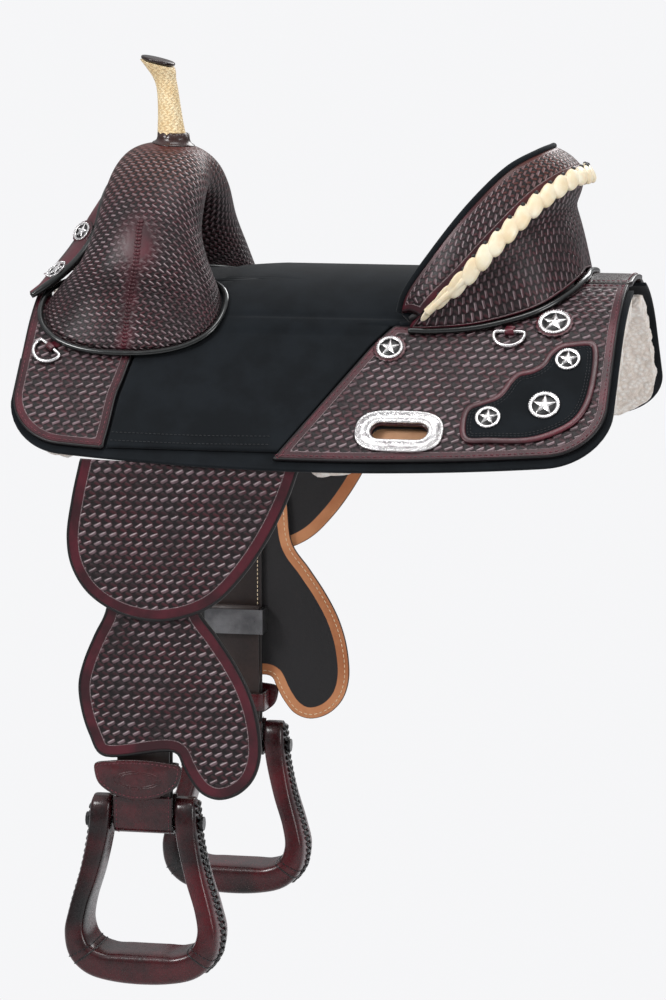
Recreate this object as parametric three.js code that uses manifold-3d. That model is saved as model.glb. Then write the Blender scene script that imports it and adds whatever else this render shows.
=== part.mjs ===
// A western saddle with a flexible tree. Millimetres, +Z up.
// The horse faces -X, its left side is -Y. The origin is on the centre plane, on the line of the
// horse's back, half way along the skirts.
import * as THREE from "three";
import { mergeVertices } from "three/addons/utils/BufferGeometryUtils.js";
import Module from "manifold-3d";

const wasm = await Module();
wasm.setup();

// ---- driving dimensions ----------------------------------------------------------------------
// The saddle drapes over the back: an arc from the spine, then a straight slope.
const RIDGE_Z = 50;
const DRAPE_RADIUS = 190;
const DRAPE_ANGLE = THREE.MathUtils.degToRad(48);
const FLAT_FROM = DRAPE_RADIUS * DRAPE_ANGLE;

// Layers, as heights above the drape surface.
const FLEECE = [-34, -16];
const BAR = [-15.2, -10];
const GROUND_SEAT = [-9.2, -4.8];
const SKIRT = [-4, 0];
const SEAT = [0.8, 5];
const JOCKEY = [0.8, 6.3];
const INLAY = [7.1, 10];
const PLATE = [7.1, 9.6];
const HEM = 7.1;

const SKIRT_FRONT = -358;
const SKIRT_REAR = 320;
const SKIRT_LENGTH = 331;

const HORN_FOOT = [-217, 0, 180];
const HORN_TOP = [-239, 0, 284];
const HORN_POST_RADIUS = 9;

// Stirrup side: distances from the centre plane of the hanging layers.
const FLAP_Y = [244, 249];
const FENDER_Y = [236, 241];
const LEATHER_Y = [228, 233];
const BACK_LAYER_Y = [214, 219];
const HANG_X = -200;
const PIN_Z = -152;
const BOLT_Y = (LEATHER_Y[0] + BACK_LAYER_Y[1]) / 2;
const BOLT_Z = -546;
const BOLT_RADIUS = 4;
const LEATHER_HALF_WIDTH = 30;

const SLOT = { x: 89, s: 281, halfX: 32, halfS: 11 };
const DEE_WIRE = 2;
const DEE_HEIGHT = 9.4;

// ---- materials -------------------------------------------------------------------------------
const finish = (color, roughness, metalness = 0) =>
  new THREE.MeshStandardMaterial({ color, roughness, metalness });
const BURGUNDY = finish(0x4a2028, 0.42);
const STIRRUP_LEATHER = finish(0x3c1216, 0.3);
const STRAP_LEATHER = finish(0x4c2118, 0.5);
const SUEDE = finish(0x1c2026, 0.95);
const PIPING = finish(0x14191a, 0.25);
const RAWHIDE = finish(0xe8d09c, 0.55);
const FLEECE_WOOL = finish(0xede0d6, 1);
const SILVER = finish(0xd8d8dc, 0.25, 1);
const STEEL = finish(0x9a9ca0, 0.35, 1);
const TREE_FIBRE = finish(0x2a2a2c, 0.7);

const saddle = new THREE.Group();

function add(name, geometry, material) {
  const mesh = new THREE.Mesh(geometry, material);
  mesh.name = name;
  saddle.add(mesh);
  return mesh;
}

const V = (x, y, z) => new THREE.Vector3(x, y, z);
const lerp = THREE.MathUtils.lerp;
const clamp = THREE.MathUtils.clamp;

function steps(from, to, count) {
  return Array.from({ length: count + 1 }, (_, i) => lerp(from, to, i / count));
}

// The value at x on a chain of straight pieces through [x, value] points.
function along(points, x) {
  const last = points.length - 1;
  if (x <= points[0][0]) return points[0][1];
  if (x >= points[last][0]) return points[last][1];
  const i = points.findIndex((p) => p[0] > x);
  const [[x0, a], [x1, b]] = [points[i - 1], points[i]];
  return lerp(a, b, (x - x0) / (x1 - x0));
}

// ---- mesh builders ---------------------------------------------------------------------------
function solid(points, triangles) {
  let volume = 0;
  for (const [a, b, c] of triangles) {
    volume += points[a].dot(V(0, 0, 0).crossVectors(points[b], points[c]));
  }
  const faces = volume < 0 ? triangles.map(([a, b, c]) => [a, c, b]) : triangles;
  const geometry = new THREE.BufferGeometry();
  geometry.setAttribute("position", new THREE.Float32BufferAttribute(points.flatMap((p) => p.toArray()), 3));
  geometry.setIndex(faces.flat());
  return geometry;
}

const quad = (a, b, c, d) => [[a, b, c], [a, c, d]];

// A sheet with thickness between two grids of points.
function slab(outer, inner) {
  const rows = outer.length;
  const cols = outer[0].length;
  const points = [...outer.flat(), ...inner.flat()];
  const top = (i, j) => i * cols + j;
  const under = (i, j) => rows * cols + i * cols + j;
  const faces = [];
  for (let i = 0; i < rows - 1; i++) {
    for (let j = 0; j < cols - 1; j++) {
      faces.push(...quad(top(i, j), top(i + 1, j), top(i + 1, j + 1), top(i, j + 1)));
      faces.push(...quad(under(i, j), under(i, j + 1), under(i + 1, j + 1), under(i + 1, j)));
    }
    faces.push(...quad(top(i + 1, 0), top(i, 0), under(i, 0), under(i + 1, 0)));
    faces.push(...quad(top(i, cols - 1), top(i + 1, cols - 1), under(i + 1, cols - 1), under(i, cols - 1)));
  }
  for (let j = 0; j < cols - 1; j++) {
    faces.push(...quad(top(0, j), top(0, j + 1), under(0, j + 1), under(0, j)));
    faces.push(...quad(top(rows - 1, j + 1), top(rows - 1, j), under(rows - 1, j), under(rows - 1, j + 1)));
  }
  return solid(points, faces);
}

// A solid through rings of points; looped rings meet end to end, others get end caps.
function ringLoft(rings, looped = false) {
  const n = rings[0].length;
  const points = rings.flat();
  const faces = [];
  const last = looped ? rings.length : rings.length - 1;
  for (let i = 0; i < last; i++) {
    const a = i * n;
    const b = ((i + 1) % rings.length) * n;
    for (let j = 0; j < n; j++) {
      const k = (j + 1) % n;
      faces.push(...quad(a + j, b + j, b + k, a + k));
    }
  }
  if (!looped) {
    const end = (rings.length - 1) * n;
    for (let j = 1; j < n - 1; j++) {
      faces.push([0, j, j + 1], [end, end + j + 1, end + j]);
    }
  }
  return solid(points, faces);
}

// A tube wall between outer and inner rings, open at both ends.
function shellLoft(outer, inner) {
  const n = outer[0].length;
  const points = [...outer.flat(), ...inner.flat()];
  const shift = outer.length * n;
  const end = (outer.length - 1) * n;
  const faces = [];
  for (let i = 0; i < outer.length - 1; i++) {
    for (let j = 0; j < n; j++) {
      const k = (j + 1) % n;
      const [a, b] = [i * n, (i + 1) * n];
      faces.push(...quad(a + j, b + j, b + k, a + k));
      faces.push(...quad(shift + a + j, shift + a + k, shift + b + k, shift + b + j));
    }
  }
  for (let j = 0; j < n; j++) {
    const k = (j + 1) % n;
    faces.push(...quad(j, k, shift + k, shift + j));
    faces.push(...quad(end + k, end + j, shift + end + j, shift + end + k));
  }
  return solid(points, faces);
}

// A round cord through points, its section carried along without twist.
function cord(points, radius, sides = 8, looped = false) {
  const curve = points;
  const n = curve.length;
  const tangent = (i) => {
    const a = looped ? curve[(i - 1 + n) % n] : curve[Math.max(i - 1, 0)];
    const b = looped ? curve[(i + 1) % n] : curve[Math.min(i + 1, n - 1)];
    return b.clone().sub(a).normalize();
  };
  const start = tangent(0);
  const seed = Math.abs(start.x) < 0.9 ? V(1, 0, 0) : V(0, 1, 0);
  let normal = seed.sub(start.clone().multiplyScalar(seed.dot(start))).normalize();
  const rings = curve.map((p, i) => {
    const t = tangent(i);
    normal = normal.clone().sub(t.clone().multiplyScalar(normal.dot(t))).normalize();
    const side = V(0, 0, 0).crossVectors(t, normal);
    return steps(0, 2 * Math.PI, sides).slice(0, sides).map((angle) => {
      const [u, v] = [radius * Math.cos(angle), radius * Math.sin(angle)];
      return p.clone().addScaledVector(normal, u).addScaledVector(side, v);
    });
  });
  return ringLoft(rings, looped);
}

// ---- joins and cuts --------------------------------------------------------------------------
function toManifold(geometry) {
  const bare = geometry.clone();
  bare.deleteAttribute("normal");
  bare.deleteAttribute("uv");
  const merged = mergeVertices(bare, 1e-4);
  return new wasm.Manifold(
    new wasm.Mesh({
      numProp: 3,
      vertProperties: new Float32Array(merged.attributes.position.array),
      triVerts: new Uint32Array(merged.index.array),
    }),
  );
}

function fromManifold(body) {
  const mesh = body.getMesh();
  const geometry = new THREE.BufferGeometry();
  geometry.setAttribute("position", new THREE.Float32BufferAttribute(mesh.vertProperties, 3));
  geometry.setIndex([...mesh.triVerts]);
  return geometry;
}

const join = (a, ...others) =>
  fromManifold(others.reduce((sum, other) => sum.add(toManifold(other)), toManifold(a)));
const cut = (a, ...others) =>
  fromManifold(others.reduce((rest, other) => rest.subtract(toManifold(other)), toManifold(a)));

function box(x, y, z) {
  const geometry = new THREE.BoxGeometry(x[1] - x[0], Math.abs(y[1] - y[0]), z[1] - z[0]);
  return geometry.translate((x[0] + x[1]) / 2, (y[0] + y[1]) / 2, (z[0] + z[1]) / 2);
}

// A cylinder between two points.
function rod(from, to, radius, sides = 16) {
  const axis = to.clone().sub(from);
  const geometry = new THREE.CylinderGeometry(radius, radius, axis.length(), sides);
  const turn = new THREE.Quaternion().setFromUnitVectors(V(0, 1, 0), axis.clone().normalize());
  return geometry.applyQuaternion(turn).translate(...from.clone().add(to).multiplyScalar(0.5).toArray());
}

// ---- the drape surface -----------------------------------------------------------------------
// s is the length over the surface from the centre line, negative on the left side.
function drape(x, s, h) {
  const reach = Math.abs(s);
  const side = Math.sign(s) || 1;
  const angle = Math.min(reach, FLAT_FROM) / DRAPE_RADIUS;
  const run = Math.max(reach - FLAT_FROM, 0);
  const y = DRAPE_RADIUS * Math.sin(angle) + run * Math.cos(angle) + h * Math.sin(angle);
  const z = RIDGE_Z - DRAPE_RADIUS * (1 - Math.cos(angle)) - run * Math.sin(angle) + h * Math.cos(angle);
  return V(x, side * y, z);
}

// A layer of the drape. The outline is given over x, with its upper and lower edges as lengths.
function drapeSheet(side, xs, top, bottom, rows, [under, over]) {
  const grid = (h) =>
    xs.map((x) => steps(0, 1, rows).map((v) => drape(x, side * lerp(top(x), bottom(x), v), h)));
  return slab(grid(over), grid(under));
}

// How far a rounded lower corner of radius r lifts the edge at x.
const corner = (x, from, r) => {
  const into = clamp(Math.abs(x - from), 0, r);
  return r - Math.sqrt(Math.max(r * r - into * into, 0));
};

const skirtEdge = (x) => SKIRT_LENGTH - 16 * ((x + 10) / 290) ** 2;

function roundedEdge(x, front, rear, radius, lift) {
  const frontDrop = x < front + radius ? corner(x, front + radius, radius) : 0;
  const rearDrop = x > rear - radius ? corner(x, rear - radius, radius) : 0;
  return skirtEdge(x) - lift - frontDrop - rearDrop;
}

// x stations that crowd towards both ends, where the outline turns.
const crowded = (from, to, count) =>
  steps(0, Math.PI, count).map((angle) => lerp(from, to, (1 - Math.cos(angle)) / 2));

// ---- fork and horn ---------------------------------------------------------------------------
// Half of the fork's arch, from leg to top: centre y and z, half length, half thickness, the
// centre's x, and how far the outward direction leans up from level, in degrees.
const FORK_ARCH = [
  { y: 104, z: 44, half: 89, thick: 45, x: -235, lean: -18 },
  { y: 100, z: 72, half: 72, thick: 42, x: -229, lean: -4 },
  { y: 86, z: 104, half: 61, thick: 38, x: -228, lean: 18 },
  { y: 62, z: 137, half: 58, thick: 34, x: -227, lean: 42 },
  { y: 32, z: 158, half: 56, thick: 32, x: -227, lean: 68 },
  { y: 0, z: 166, half: 53, thick: 33, x: -228, lean: 90 },
];
const FORK_FOOT = { x: -238, half: 101, s: 120, spread: 62 };
const FORK_CORE_FOOT = { x: -238, half: 78, s: 109, spread: 39 };
const FORK_SIDES = 16;

// Points of a rounded oval from 0 to a full turn: [along x, across].
const oval = (power = 0.86) =>
  steps(0, 2 * Math.PI, FORK_SIDES).slice(0, FORK_SIDES).map((angle) => {
    const [c, s] = [Math.cos(angle), Math.sin(angle)];
    return [Math.sign(c) * Math.abs(c) ** power, Math.sign(s) * Math.abs(s) ** power];
  });

function footRing(foot, h, side) {
  return oval().map(([u, v]) => drape(foot.x + foot.half * u, side * (foot.s + foot.spread * v), h));
}

function archRings(inset) {
  const ring = (side) => ({ x, y, z, half, thick, lean }) => {
    const angle = THREE.MathUtils.degToRad(lean);
    const outward = V(0, side * Math.cos(angle), Math.sin(angle));
    return oval().map(([u, v]) =>
      V(x + (half - inset) * u, side * y, z).addScaledVector(outward, (thick - inset) * v),
    );
  };
  return [...FORK_ARCH.map(ring(-1)), ...FORK_ARCH.slice(0, -1).reverse().map(ring(1))];
}

// What lies below the top of the bars, to cut a foot that stands on them.
const underTree = (side) =>
  drapeSheet(side, steps(-330, 290, 2), () => 0, () => 230, 12, [-90, BAR[1] + 0.7]);

function addFork() {
  const hornHole = rod(V(...HORN_FOOT), V(...HORN_TOP), HORN_POST_RADIUS + 0.4, 20);
  const core = ringLoft([
    footRing(FORK_CORE_FOOT, -14, -1),
    footRing(FORK_CORE_FOOT, 8, -1),
    ...archRings(4.8),
    footRing(FORK_CORE_FOOT, 8, 1),
    footRing(FORK_CORE_FOOT, -14, 1),
  ]);
  add("fork_core", cut(core, hornHole, underTree(-1), underTree(1)), TREE_FIBRE);

  const coverFoot = (side, inset) =>
    footRing({ ...FORK_FOOT, half: FORK_FOOT.half - inset, spread: FORK_FOOT.spread - inset }, HEM, side);
  const cover = shellLoft(
    [coverFoot(-1, 0), ...archRings(0), coverFoot(1, 0)],
    [coverFoot(-1, 3.8), ...archRings(3.8), coverFoot(1, 3.8)],
  );
  add("fork_cover", cut(cover, hornHole), BURGUNDY);

  const PIPE_RADIUS = 2.6;
  for (const [name, side] of [["left_fork_piping", -1], ["right_fork_piping", 1]]) {
    const foot = { ...FORK_FOOT, half: FORK_FOOT.half + 5.2, spread: FORK_FOOT.spread + 5.2 };
    add(name, cord(footRing(foot, JOCKEY[1] + PIPE_RADIUS + 0.8, side), PIPE_RADIUS, 6, true), PIPING);
  }
}

// Rings of the horn from its foot to its head: x, z, radius and rearward tilt in degrees.
const HORN = [
  [-221.5, 202.5, 17, -4],
  [-222.5, 214, 15.4, -4],
  [-224.5, 240, 13, -4],
  [-227, 262, 12.3, 0],
  [-230, 272, 13.6, 5],
  [-234, 281, 17.4, 10],
  [-238, 288, 20.5, 14],
];

function hornRings(shrink) {
  return HORN.map(([x, z, radius, degrees]) => {
    const tilt = THREE.MathUtils.degToRad(degrees);
    return steps(0, 2 * Math.PI, 14).slice(0, 14).map((angle) => {
      const [a, b] = [(radius - shrink) * Math.cos(angle), (radius - shrink) * Math.sin(angle)];
      return V(x + a * Math.cos(tilt), b, z - a * Math.sin(tilt));
    });
  });
}

function addHorn() {
  const post = rod(V(...HORN_FOOT).add(V(0, 0, 0.6)), V(-222.5, 0, 206), HORN_POST_RADIUS, 14);
  add("horn_core", join(ringLoft(hornRings(4)), post), STEEL);
  add("horn_wrap", shellLoft(hornRings(0), hornRings(3.4)), RAWHIDE);
  const cap = new THREE.CylinderGeometry(20, 21, 4.5, 24).rotateX(Math.PI / 2);
  cap.rotateY(THREE.MathUtils.degToRad(14)).translate(-237.2, 0, 291.4);
  add("horn_cap", cap, STRAP_LEATHER);
}

// The leather in front of the fork: its rear edge and front edge from the centre to the left tip.
const BRIDGE_REAR = [
  [-290, 0, 146], [-292, 38, 128], [-297, 62, 94], [-310, 83, 69], [-334, 100, 45], [-357, 111, 28],
];
const BRIDGE_FRONT = [
  [-304, 0, 113], [-312, 32, 103], [-328, 60, 74], [-342, 80, 52], [-352, 92, 37], [-358, 101, 29],
];

const splineThrough = (points) => new THREE.CatmullRomCurve3(points.map((p) => V(...p)));
const mirrored = (points) => [
  ...points.slice(1).reverse().map(([x, y, z]) => [x, -y, z]),
  ...points,
];

function addBridges() {
  const rear = splineThrough(mirrored(BRIDGE_REAR)).getPoints(24);
  const front = splineThrough(mirrored(BRIDGE_FRONT)).getPoints(24);
  const thickness = 4.5;
  const outer = [];
  const inner = [];
  rear.forEach((p, i) => {
    const before = rear[Math.max(i - 1, 0)];
    const after = rear[Math.min(i + 1, rear.length - 1)];
    const normal = V(0, 0, 0).crossVectors(after.clone().sub(before), front[i].clone().sub(p)).normalize();
    if (normal.x > 0) normal.negate();
    const across = steps(0, 1, 2).map((v) => p.clone().lerp(front[i], v));
    outer.push(across.map((q) => q.clone().addScaledVector(normal, thickness)));
    inner.push(across);
  });
  add("front_bridge", slab(outer, inner), BURGUNDY);

  const xs = steps(273, 317, 3);
  const grid = (h) => xs.map((x) => steps(-45, 45, 6).map((s) => drape(x, s, h)));
  add("rear_bridge", slab(grid(8), grid(SEAT[0])), STRAP_LEATHER);
}

// ---- cantle ----------------------------------------------------------------------------------
// Edge curves from the centre to the left tip: the top inner edge, the laced edge and the foot.
const CANTLE_TOP = [
  [220, 0, 199], [210, 42, 195], [183, 82, 179], [146, 112, 140], [105, 127, 86], [76, 132, 42],
  [70, 131, 22],
];
const CANTLE_LACED = [
  [256, 0, 170], [244, 50, 167], [214, 92, 144], [177, 124, 104], [138, 140, 60], [110, 143, 34],
  [97, 142, 21],
];
const CANTLE_FOOT = [[260, 0], [261, 38], [250, 76], [222, 110], [165, 135], [110, 143], [82, 143]];
// How far the back of the cantle is hollowed at its middle, below the rim.
const CANTLE_HOLLOW = 13;
const SEAT_BACK = { x: 61, depth: 126, s: 137 };
const CANTLE_STEPS = 20;

function cantleSections() {
  const top = splineThrough(mirrored(CANTLE_TOP)).getPoints(CANTLE_STEPS);
  const laced = splineThrough(mirrored(CANTLE_LACED)).getPoints(CANTLE_STEPS);
  const foot = splineThrough(mirrored(CANTLE_FOOT.map(([x, s]) => [x, s, 0]))).getPoints(CANTLE_STEPS);
  return top.map((topPoint, i) => {
    const turn = lerp(-1, 1, i / CANTLE_STEPS) * 1.42;
    const seatX = SEAT_BACK.x + SEAT_BACK.depth * Math.cos(turn);
    const seatS = SEAT_BACK.s * Math.sin(turn);
    const corners = {
      seat: drape(seatX + 2, seatS, HEM),
      top: topPoint,
      laced: laced[i],
      foot: drape(foot[i].x, foot[i].y, HEM),
      seatLow: drape(seatX + 10, seatS * 1.02, -14),
      footLow: drape(foot[i].x - 14, foot[i].y * 0.92, -14),
    };
    const base = corners.seat.clone().lerp(corners.foot, 0.5);
    corners.middle = base.lerp(corners.top.clone().lerp(corners.laced, 0.5), 0.62);
    corners.hollow = -CANTLE_HOLLOW * (1 - (2 * i / CANTLE_STEPS - 1) ** 2) ** 2;
    return corners;
  });
}

// How far to shrink a face towards the middle of its section so that it moves in by a depth.
function shrink(section, from, to, depth) {
  const nearest = new THREE.Line3(section[from], section[to]).closestPointToPoint(section.middle, false, V());
  return 1 - depth / nearest.distanceTo(section.middle);
}

// A point between two corners of a section, moved out from its middle by a bulge.
function bulged(section, from, to, v, bulge) {
  const p = section[from].clone().lerp(section[to], v);
  const away = p.clone().sub(section.middle).normalize();
  return p.addScaledVector(away, bulge * Math.sin(Math.PI * v));
}

const SKIN_GAP = 0.065;
const SKIN_SHARES = steps(SKIN_GAP, 1 - SKIN_GAP, 3);

// One leather over the cantle between two of its edge curves, with an outward bulge.
function cantleSkin(sections, from, to, thickness, bulge) {
  const outer = sections.map((section) =>
    SKIN_SHARES.map((v) => bulged(section, from, to, v, bulge(section))),
  );
  const inner = outer.map((row, i) => {
    const scale = shrink(sections[i], from, to, thickness);
    return row.map((p) => sections[i].middle.clone().lerp(p, scale));
  });
  return slab(outer, inner);
}

function addCantle() {
  const sections = cantleSections();
  const CORE_DEPTH = 6.2;
  const core = ringLoft(sections.map((section) => {
    const faces = [["seat", "top"], ["laced", "foot"]];
    const scale = Math.min(...faces.map(([from, to]) => shrink(section, from, to, CORE_DEPTH)));
    const inside = (point) => section.middle.clone().lerp(point, scale);
    const back = SKIN_SHARES.slice(1, -1).map((v) => bulged(section, "laced", "foot", v, section.hollow));
    const { seatLow, seat, top, laced, foot, footLow } = section;
    return [seatLow, ...[seat, top, laced, ...back, foot].map(inside), footLow];
  }));
  add("cantle_core", cut(core, underTree(-1), underTree(1)), TREE_FIBRE);
  add("cantle_facing", cantleSkin(sections, "seat", "top", 4.2, () => 0), SUEDE);
  add("cantle_band", cantleSkin(sections, "top", "laced", 4.6, () => 5), BURGUNDY);
  const back = cantleSkin(sections, "laced", "foot", 4.2, (section) => section.hollow);
  add("cantle_back_cover", back, BURGUNDY);

  const LACE_RADIUS = 6;
  const lace = sections.slice(1, -1).map(({ top, laced, foot }, i, all) => {
    const outward = laced.clone().sub(top).normalize().add(laced.clone().sub(foot).normalize()).normalize();
    const nearTip = Math.abs(lerp(-1, 1, i / (all.length - 1))) ** 2;
    return laced.clone().addScaledVector(outward, LACE_RADIUS + 1.4 + 6.5 * nearTip);
  });
  add("cantle_lacing", cord(lace, LACE_RADIUS, 8), RAWHIDE);

  const PIPE_RADIUS = 2.6;
  const route = splineThrough(mirrored(CANTLE_FOOT.map(([x, s]) => [x, s, 0])));
  const pipe = steps(0, 1, CANTLE_STEPS).map((v) => {
    const p = route.getPoint(v);
    const along = route.getTangent(v);
    const out = PIPE_RADIUS + 1.6;
    return drape(p.x + out * along.y, p.y - out * along.x, JOCKEY[1] + PIPE_RADIUS + 0.9);
  });
  add("cantle_piping", cord(pipe, PIPE_RADIUS, 6), PIPING);
}

// ---- seat, skirts and jockeys ----------------------------------------------------------------
const SEAT_FRONT = [[54, -262], [62, -150], [150, -150], [182, -222], [236, -231], [310, -235.5]];
const JOCKEY_FRONT_TOP = [
  [-355, 46], [-347, 66], [-336, 106], [-318, 127], [-292, 149], [-249, 166], [-228, 170],
];
const DIAGONAL = [[-47, 320], [42, 167], [64, 137]];
const JOCKEY_REAR_TOP = [...DIAGONAL, [108, 138], [162, 131], [222, 104], [247, 73], [258, 47], [314, 47]];
const INLAY_TOP = [
  [157, 264], [161, 248], [176, 240], [190, 233], [197, 224], [203, 211], [211, 201], [226, 196], [237, 187],
  [243, 173], [254, 162], [270, 158], [287, 157], [293, 163],
];
const INLAY_LOW = [[157, 272], [161, 287], [190, 291], [233, 289], [259, 279], [281, 262], [293, 233]];
const SKIRT_TOP = [[-358, 190], [60, 190], [90, 160], [250, 150], [263, 50], [320, 50]];
const SEAT_STEPS = 9;

function seatRear(s) {
  const reach = Math.abs(s);
  if (reach < SEAT_BACK.s) return SEAT_BACK.x + SEAT_BACK.depth * Math.sqrt(1 - (reach / SEAT_BACK.s) ** 2);
  return along([[SEAT_BACK.s, SEAT_BACK.x], [167, 40], [320, -48]], reach) - 1.2;
}

function addSeat() {
  const stations = [-309, -245, -186, -168, -150, -137, -130, -110, -85, -62, -54, -34, -10];
  const rows = [...stations, ...stations.map((s) => -s).reverse()];
  const grid = (h) =>
    rows.map((s) => {
      const front = along(SEAT_FRONT, Math.abs(s));
      return steps(front, seatRear(s), SEAT_STEPS).map((x) => drape(x, s, h));
    });
  add("seat_leather", slab(grid(SEAT[1]), grid(SEAT[0])), SUEDE);

  const seatXs = steps(-138, 50, 4);
  const under = (h) => seatXs.map((x) => steps(-150, 150, 12).map((s) => drape(x, s, h)));
  add("ground_seat", slab(under(GROUND_SEAT[1]), under(GROUND_SEAT[0])), TREE_FIBRE);
}

// A round-ended slot through the layers, square to the drape's slope.
function slotCutter(side, reach) {
  const { x, s, halfX, halfS } = SLOT;
  const ring = (h) => {
    const points = [];
    for (const end of [1, -1]) {
      for (const angle of steps(-Math.PI / 2, Math.PI / 2, 5)) {
        const u = end * (halfX - halfS + halfS * Math.cos(angle));
        points.push(drape(x + u, side * (s + end * halfS * Math.sin(angle)), h));
      }
    }
    return points;
  };
  return ringLoft([ring(-reach), ring(reach)]);
}

function addSide(prefix, side) {
  const name = (piece) => `${prefix}_${piece}`;
  const bars = drapeSheet(side, steps(-300, 262, 2), () => 40, () => 205, 8, BAR);
  add(name("bar"), bars, TREE_FIBRE);

  // The fleece is cut away where the stirrup leather hangs, and trimmed short behind it.
  const hollow = [[-290, 0], [-272, 16], [-22, 16], [-4, 0], [20, 0], [60, 15], [316, 15]];
  const fleeceEdge = (x) => roundedEdge(x, SKIRT_FRONT + 6, SKIRT_REAR - 4, 62, 18) - along(hollow, x);
  const fleeceXs = [-352, -344, -328, -290, -272, -22, -4, 20, 60, 170, 254, 290, 308, 316];
  add(name("fleece"), drapeSheet(side, fleeceXs, () => 36, fleeceEdge, 7, FLEECE), FLEECE_WOOL);

  const slot = slotCutter(side, 16);
  const skirtXs = [...crowded(SKIRT_FRONT, -290, 5), -150, 60, 90, 170, ...crowded(250, SKIRT_REAR, 6)];
  const skirtLow = (x) => roundedEdge(x, SKIRT_FRONT, SKIRT_REAR, 66, 0);
  const skirt = drapeSheet(side, skirtXs, (x) => along(SKIRT_TOP, x), skirtLow, 6, SKIRT);
  add(name("skirt"), cut(skirt, slot), SUEDE);

  const frontXs = [...steps(SKIRT_FRONT + 3, -331, 5), -318, -305, -290, -268, -238];
  const frontLow = (x) => roundedEdge(x, SKIRT_FRONT + 3, 400, 62, 10) + 2 - 5 * ((x + 300) / 60) ** 2 * 0.2;
  const frontTop = (x) => along(JOCKEY_FRONT_TOP, x);
  add(name("front_jockey"), drapeSheet(side, frontXs, frontTop, frontLow, 9, JOCKEY), BURGUNDY);

  const rearXs = [-47, -20, 10, 42, 64, 108, 162, 205, 222, 247, 258, ...crowded(262, 314, 5).slice(1)];
  const rearLow = (x) => roundedEdge(x, -400, 314, 60, 10);
  const rearTop = (x) => along(JOCKEY_REAR_TOP, x);
  const rear = drapeSheet(side, rearXs, rearTop, rearLow, 8, JOCKEY);
  add(name("rear_jockey"), cut(rear, slot), BURGUNDY);

  const inlayXs = INLAY_TOP.map(([x]) => x);
  const inlay = drapeSheet(side, inlayXs, (x) => along(INLAY_TOP, x), (x) => along(INLAY_LOW, x), 4, INLAY);
  add(name("suede_inlay"), inlay, SUEDE);

  const plateRing = (h) =>
    steps(0, 2 * Math.PI, 24).slice(0, 24).map((angle) => {
      const [c, s] = [Math.cos(angle), Math.sin(angle)];
      const u = 49 * Math.sign(c) * Math.abs(c) ** 0.55;
      const v = 27 * Math.sign(s) * Math.abs(s) ** 0.8;
      return drape(SLOT.x + u, side * (SLOT.s + v), h);
    });
  add(name("rigging_plate"), cut(ringLoft([plateRing(PLATE[0]), plateRing(PLATE[1])]), slot), SILVER);
}

// ---- dees ------------------------------------------------------------------------------------
// Each dee hinges on its straight bar, which a small clip holds down.
const DEES = { front: { x: -322, s: 180, turn: 40 }, rear: { x: 195, s: 145, turn: 0 } };
const DEE_RADIUS = 16.5;
const DEE_BAR = 12;

function deeFrame(dee, side) {
  const origin = drape(dee.x, side * dee.s, DEE_HEIGHT);
  const down = drape(dee.x, side * (dee.s + 1), DEE_HEIGHT).sub(origin).normalize();
  const turn = THREE.MathUtils.degToRad(dee.turn);
  const bar = V(1, 0, 0).multiplyScalar(Math.cos(turn)).addScaledVector(down, Math.sin(turn));
  const hang = down.clone().multiplyScalar(Math.cos(turn)).addScaledVector(V(1, 0, 0), -Math.sin(turn));
  const up = drape(dee.x, side * dee.s, DEE_HEIGHT + 1).sub(origin);
  return { origin, bar, hang, up };
}

function addDee(prefix, place, side) {
  const { origin, bar, hang, up } = deeFrame(DEES[place], side);
  const at = (u, v, w = 0) =>
    origin.clone().addScaledVector(bar, u).addScaledVector(hang, v).addScaledVector(up, w);
  const path = [at(-DEE_BAR, 0), at(0, 0), at(DEE_BAR, 0)];
  for (const angle of steps(0, Math.PI, 8)) {
    path.push(at(DEE_RADIUS * Math.cos(angle) * 1.05, 4 + DEE_RADIUS * Math.sin(angle)));
  }
  add(`${prefix}_${place}_dee`, cord(path, DEE_WIRE, 6, true), SILVER);

  // The clip is a strap bent over the bar, with its tail on the leather.
  const arch = (radius, angles) =>
    angles.map((angle) => [radius * Math.cos(angle), radius * Math.sin(angle)]);
  const outline = [
    [-8, -2.6],
    [-8, -1],
    [-3.6, -1],
    ...arch(3.6, steps(Math.PI, 0, 6)),
    [3.6, -2.6],
    [2.7, -2.6],
    ...arch(2.7, steps(0, Math.PI, 6)),
    [-2.7, -2.6],
  ];
  const shape = new THREE.Shape(outline.map(([v, w]) => new THREE.Vector2(v, w)));
  const geometry = new THREE.ExtrudeGeometry(shape, { depth: 8, bevelEnabled: false }).translate(0, 0, -4);
  const basis = new THREE.Matrix4().makeBasis(hang, up, V(0, 0, 0).crossVectors(hang, up));
  geometry.applyMatrix4(basis.setPosition(origin));
  add(`${prefix}_${place}_dee_clip`, geometry, STRAP_LEATHER);
}

// ---- flap, fender and stirrup ----------------------------------------------------------------
// A flat leather hanging beside the horse: its outline in x and z, between two distances from the
// centre plane.
function hangingLeather(outline, [from, to], side, holes = []) {
  const shape = new THREE.Shape(outline.map(([x, z]) => new THREE.Vector2(x, z)));
  shape.holes = holes;
  const options = { depth: to - from, bevelEnabled: false, curveSegments: 16 };
  const geometry = new THREE.ExtrudeGeometry(shape, options).rotateX(Math.PI / 2);
  return geometry.translate(0, side < 0 ? -from : to, 0);
}

function smoothOutline(points, count) {
  const curve = new THREE.SplineCurve(points.map(([x, z]) => new THREE.Vector2(x, z)));
  return curve.getPoints(count).map((p) => [p.x, p.y]);
}

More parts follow.
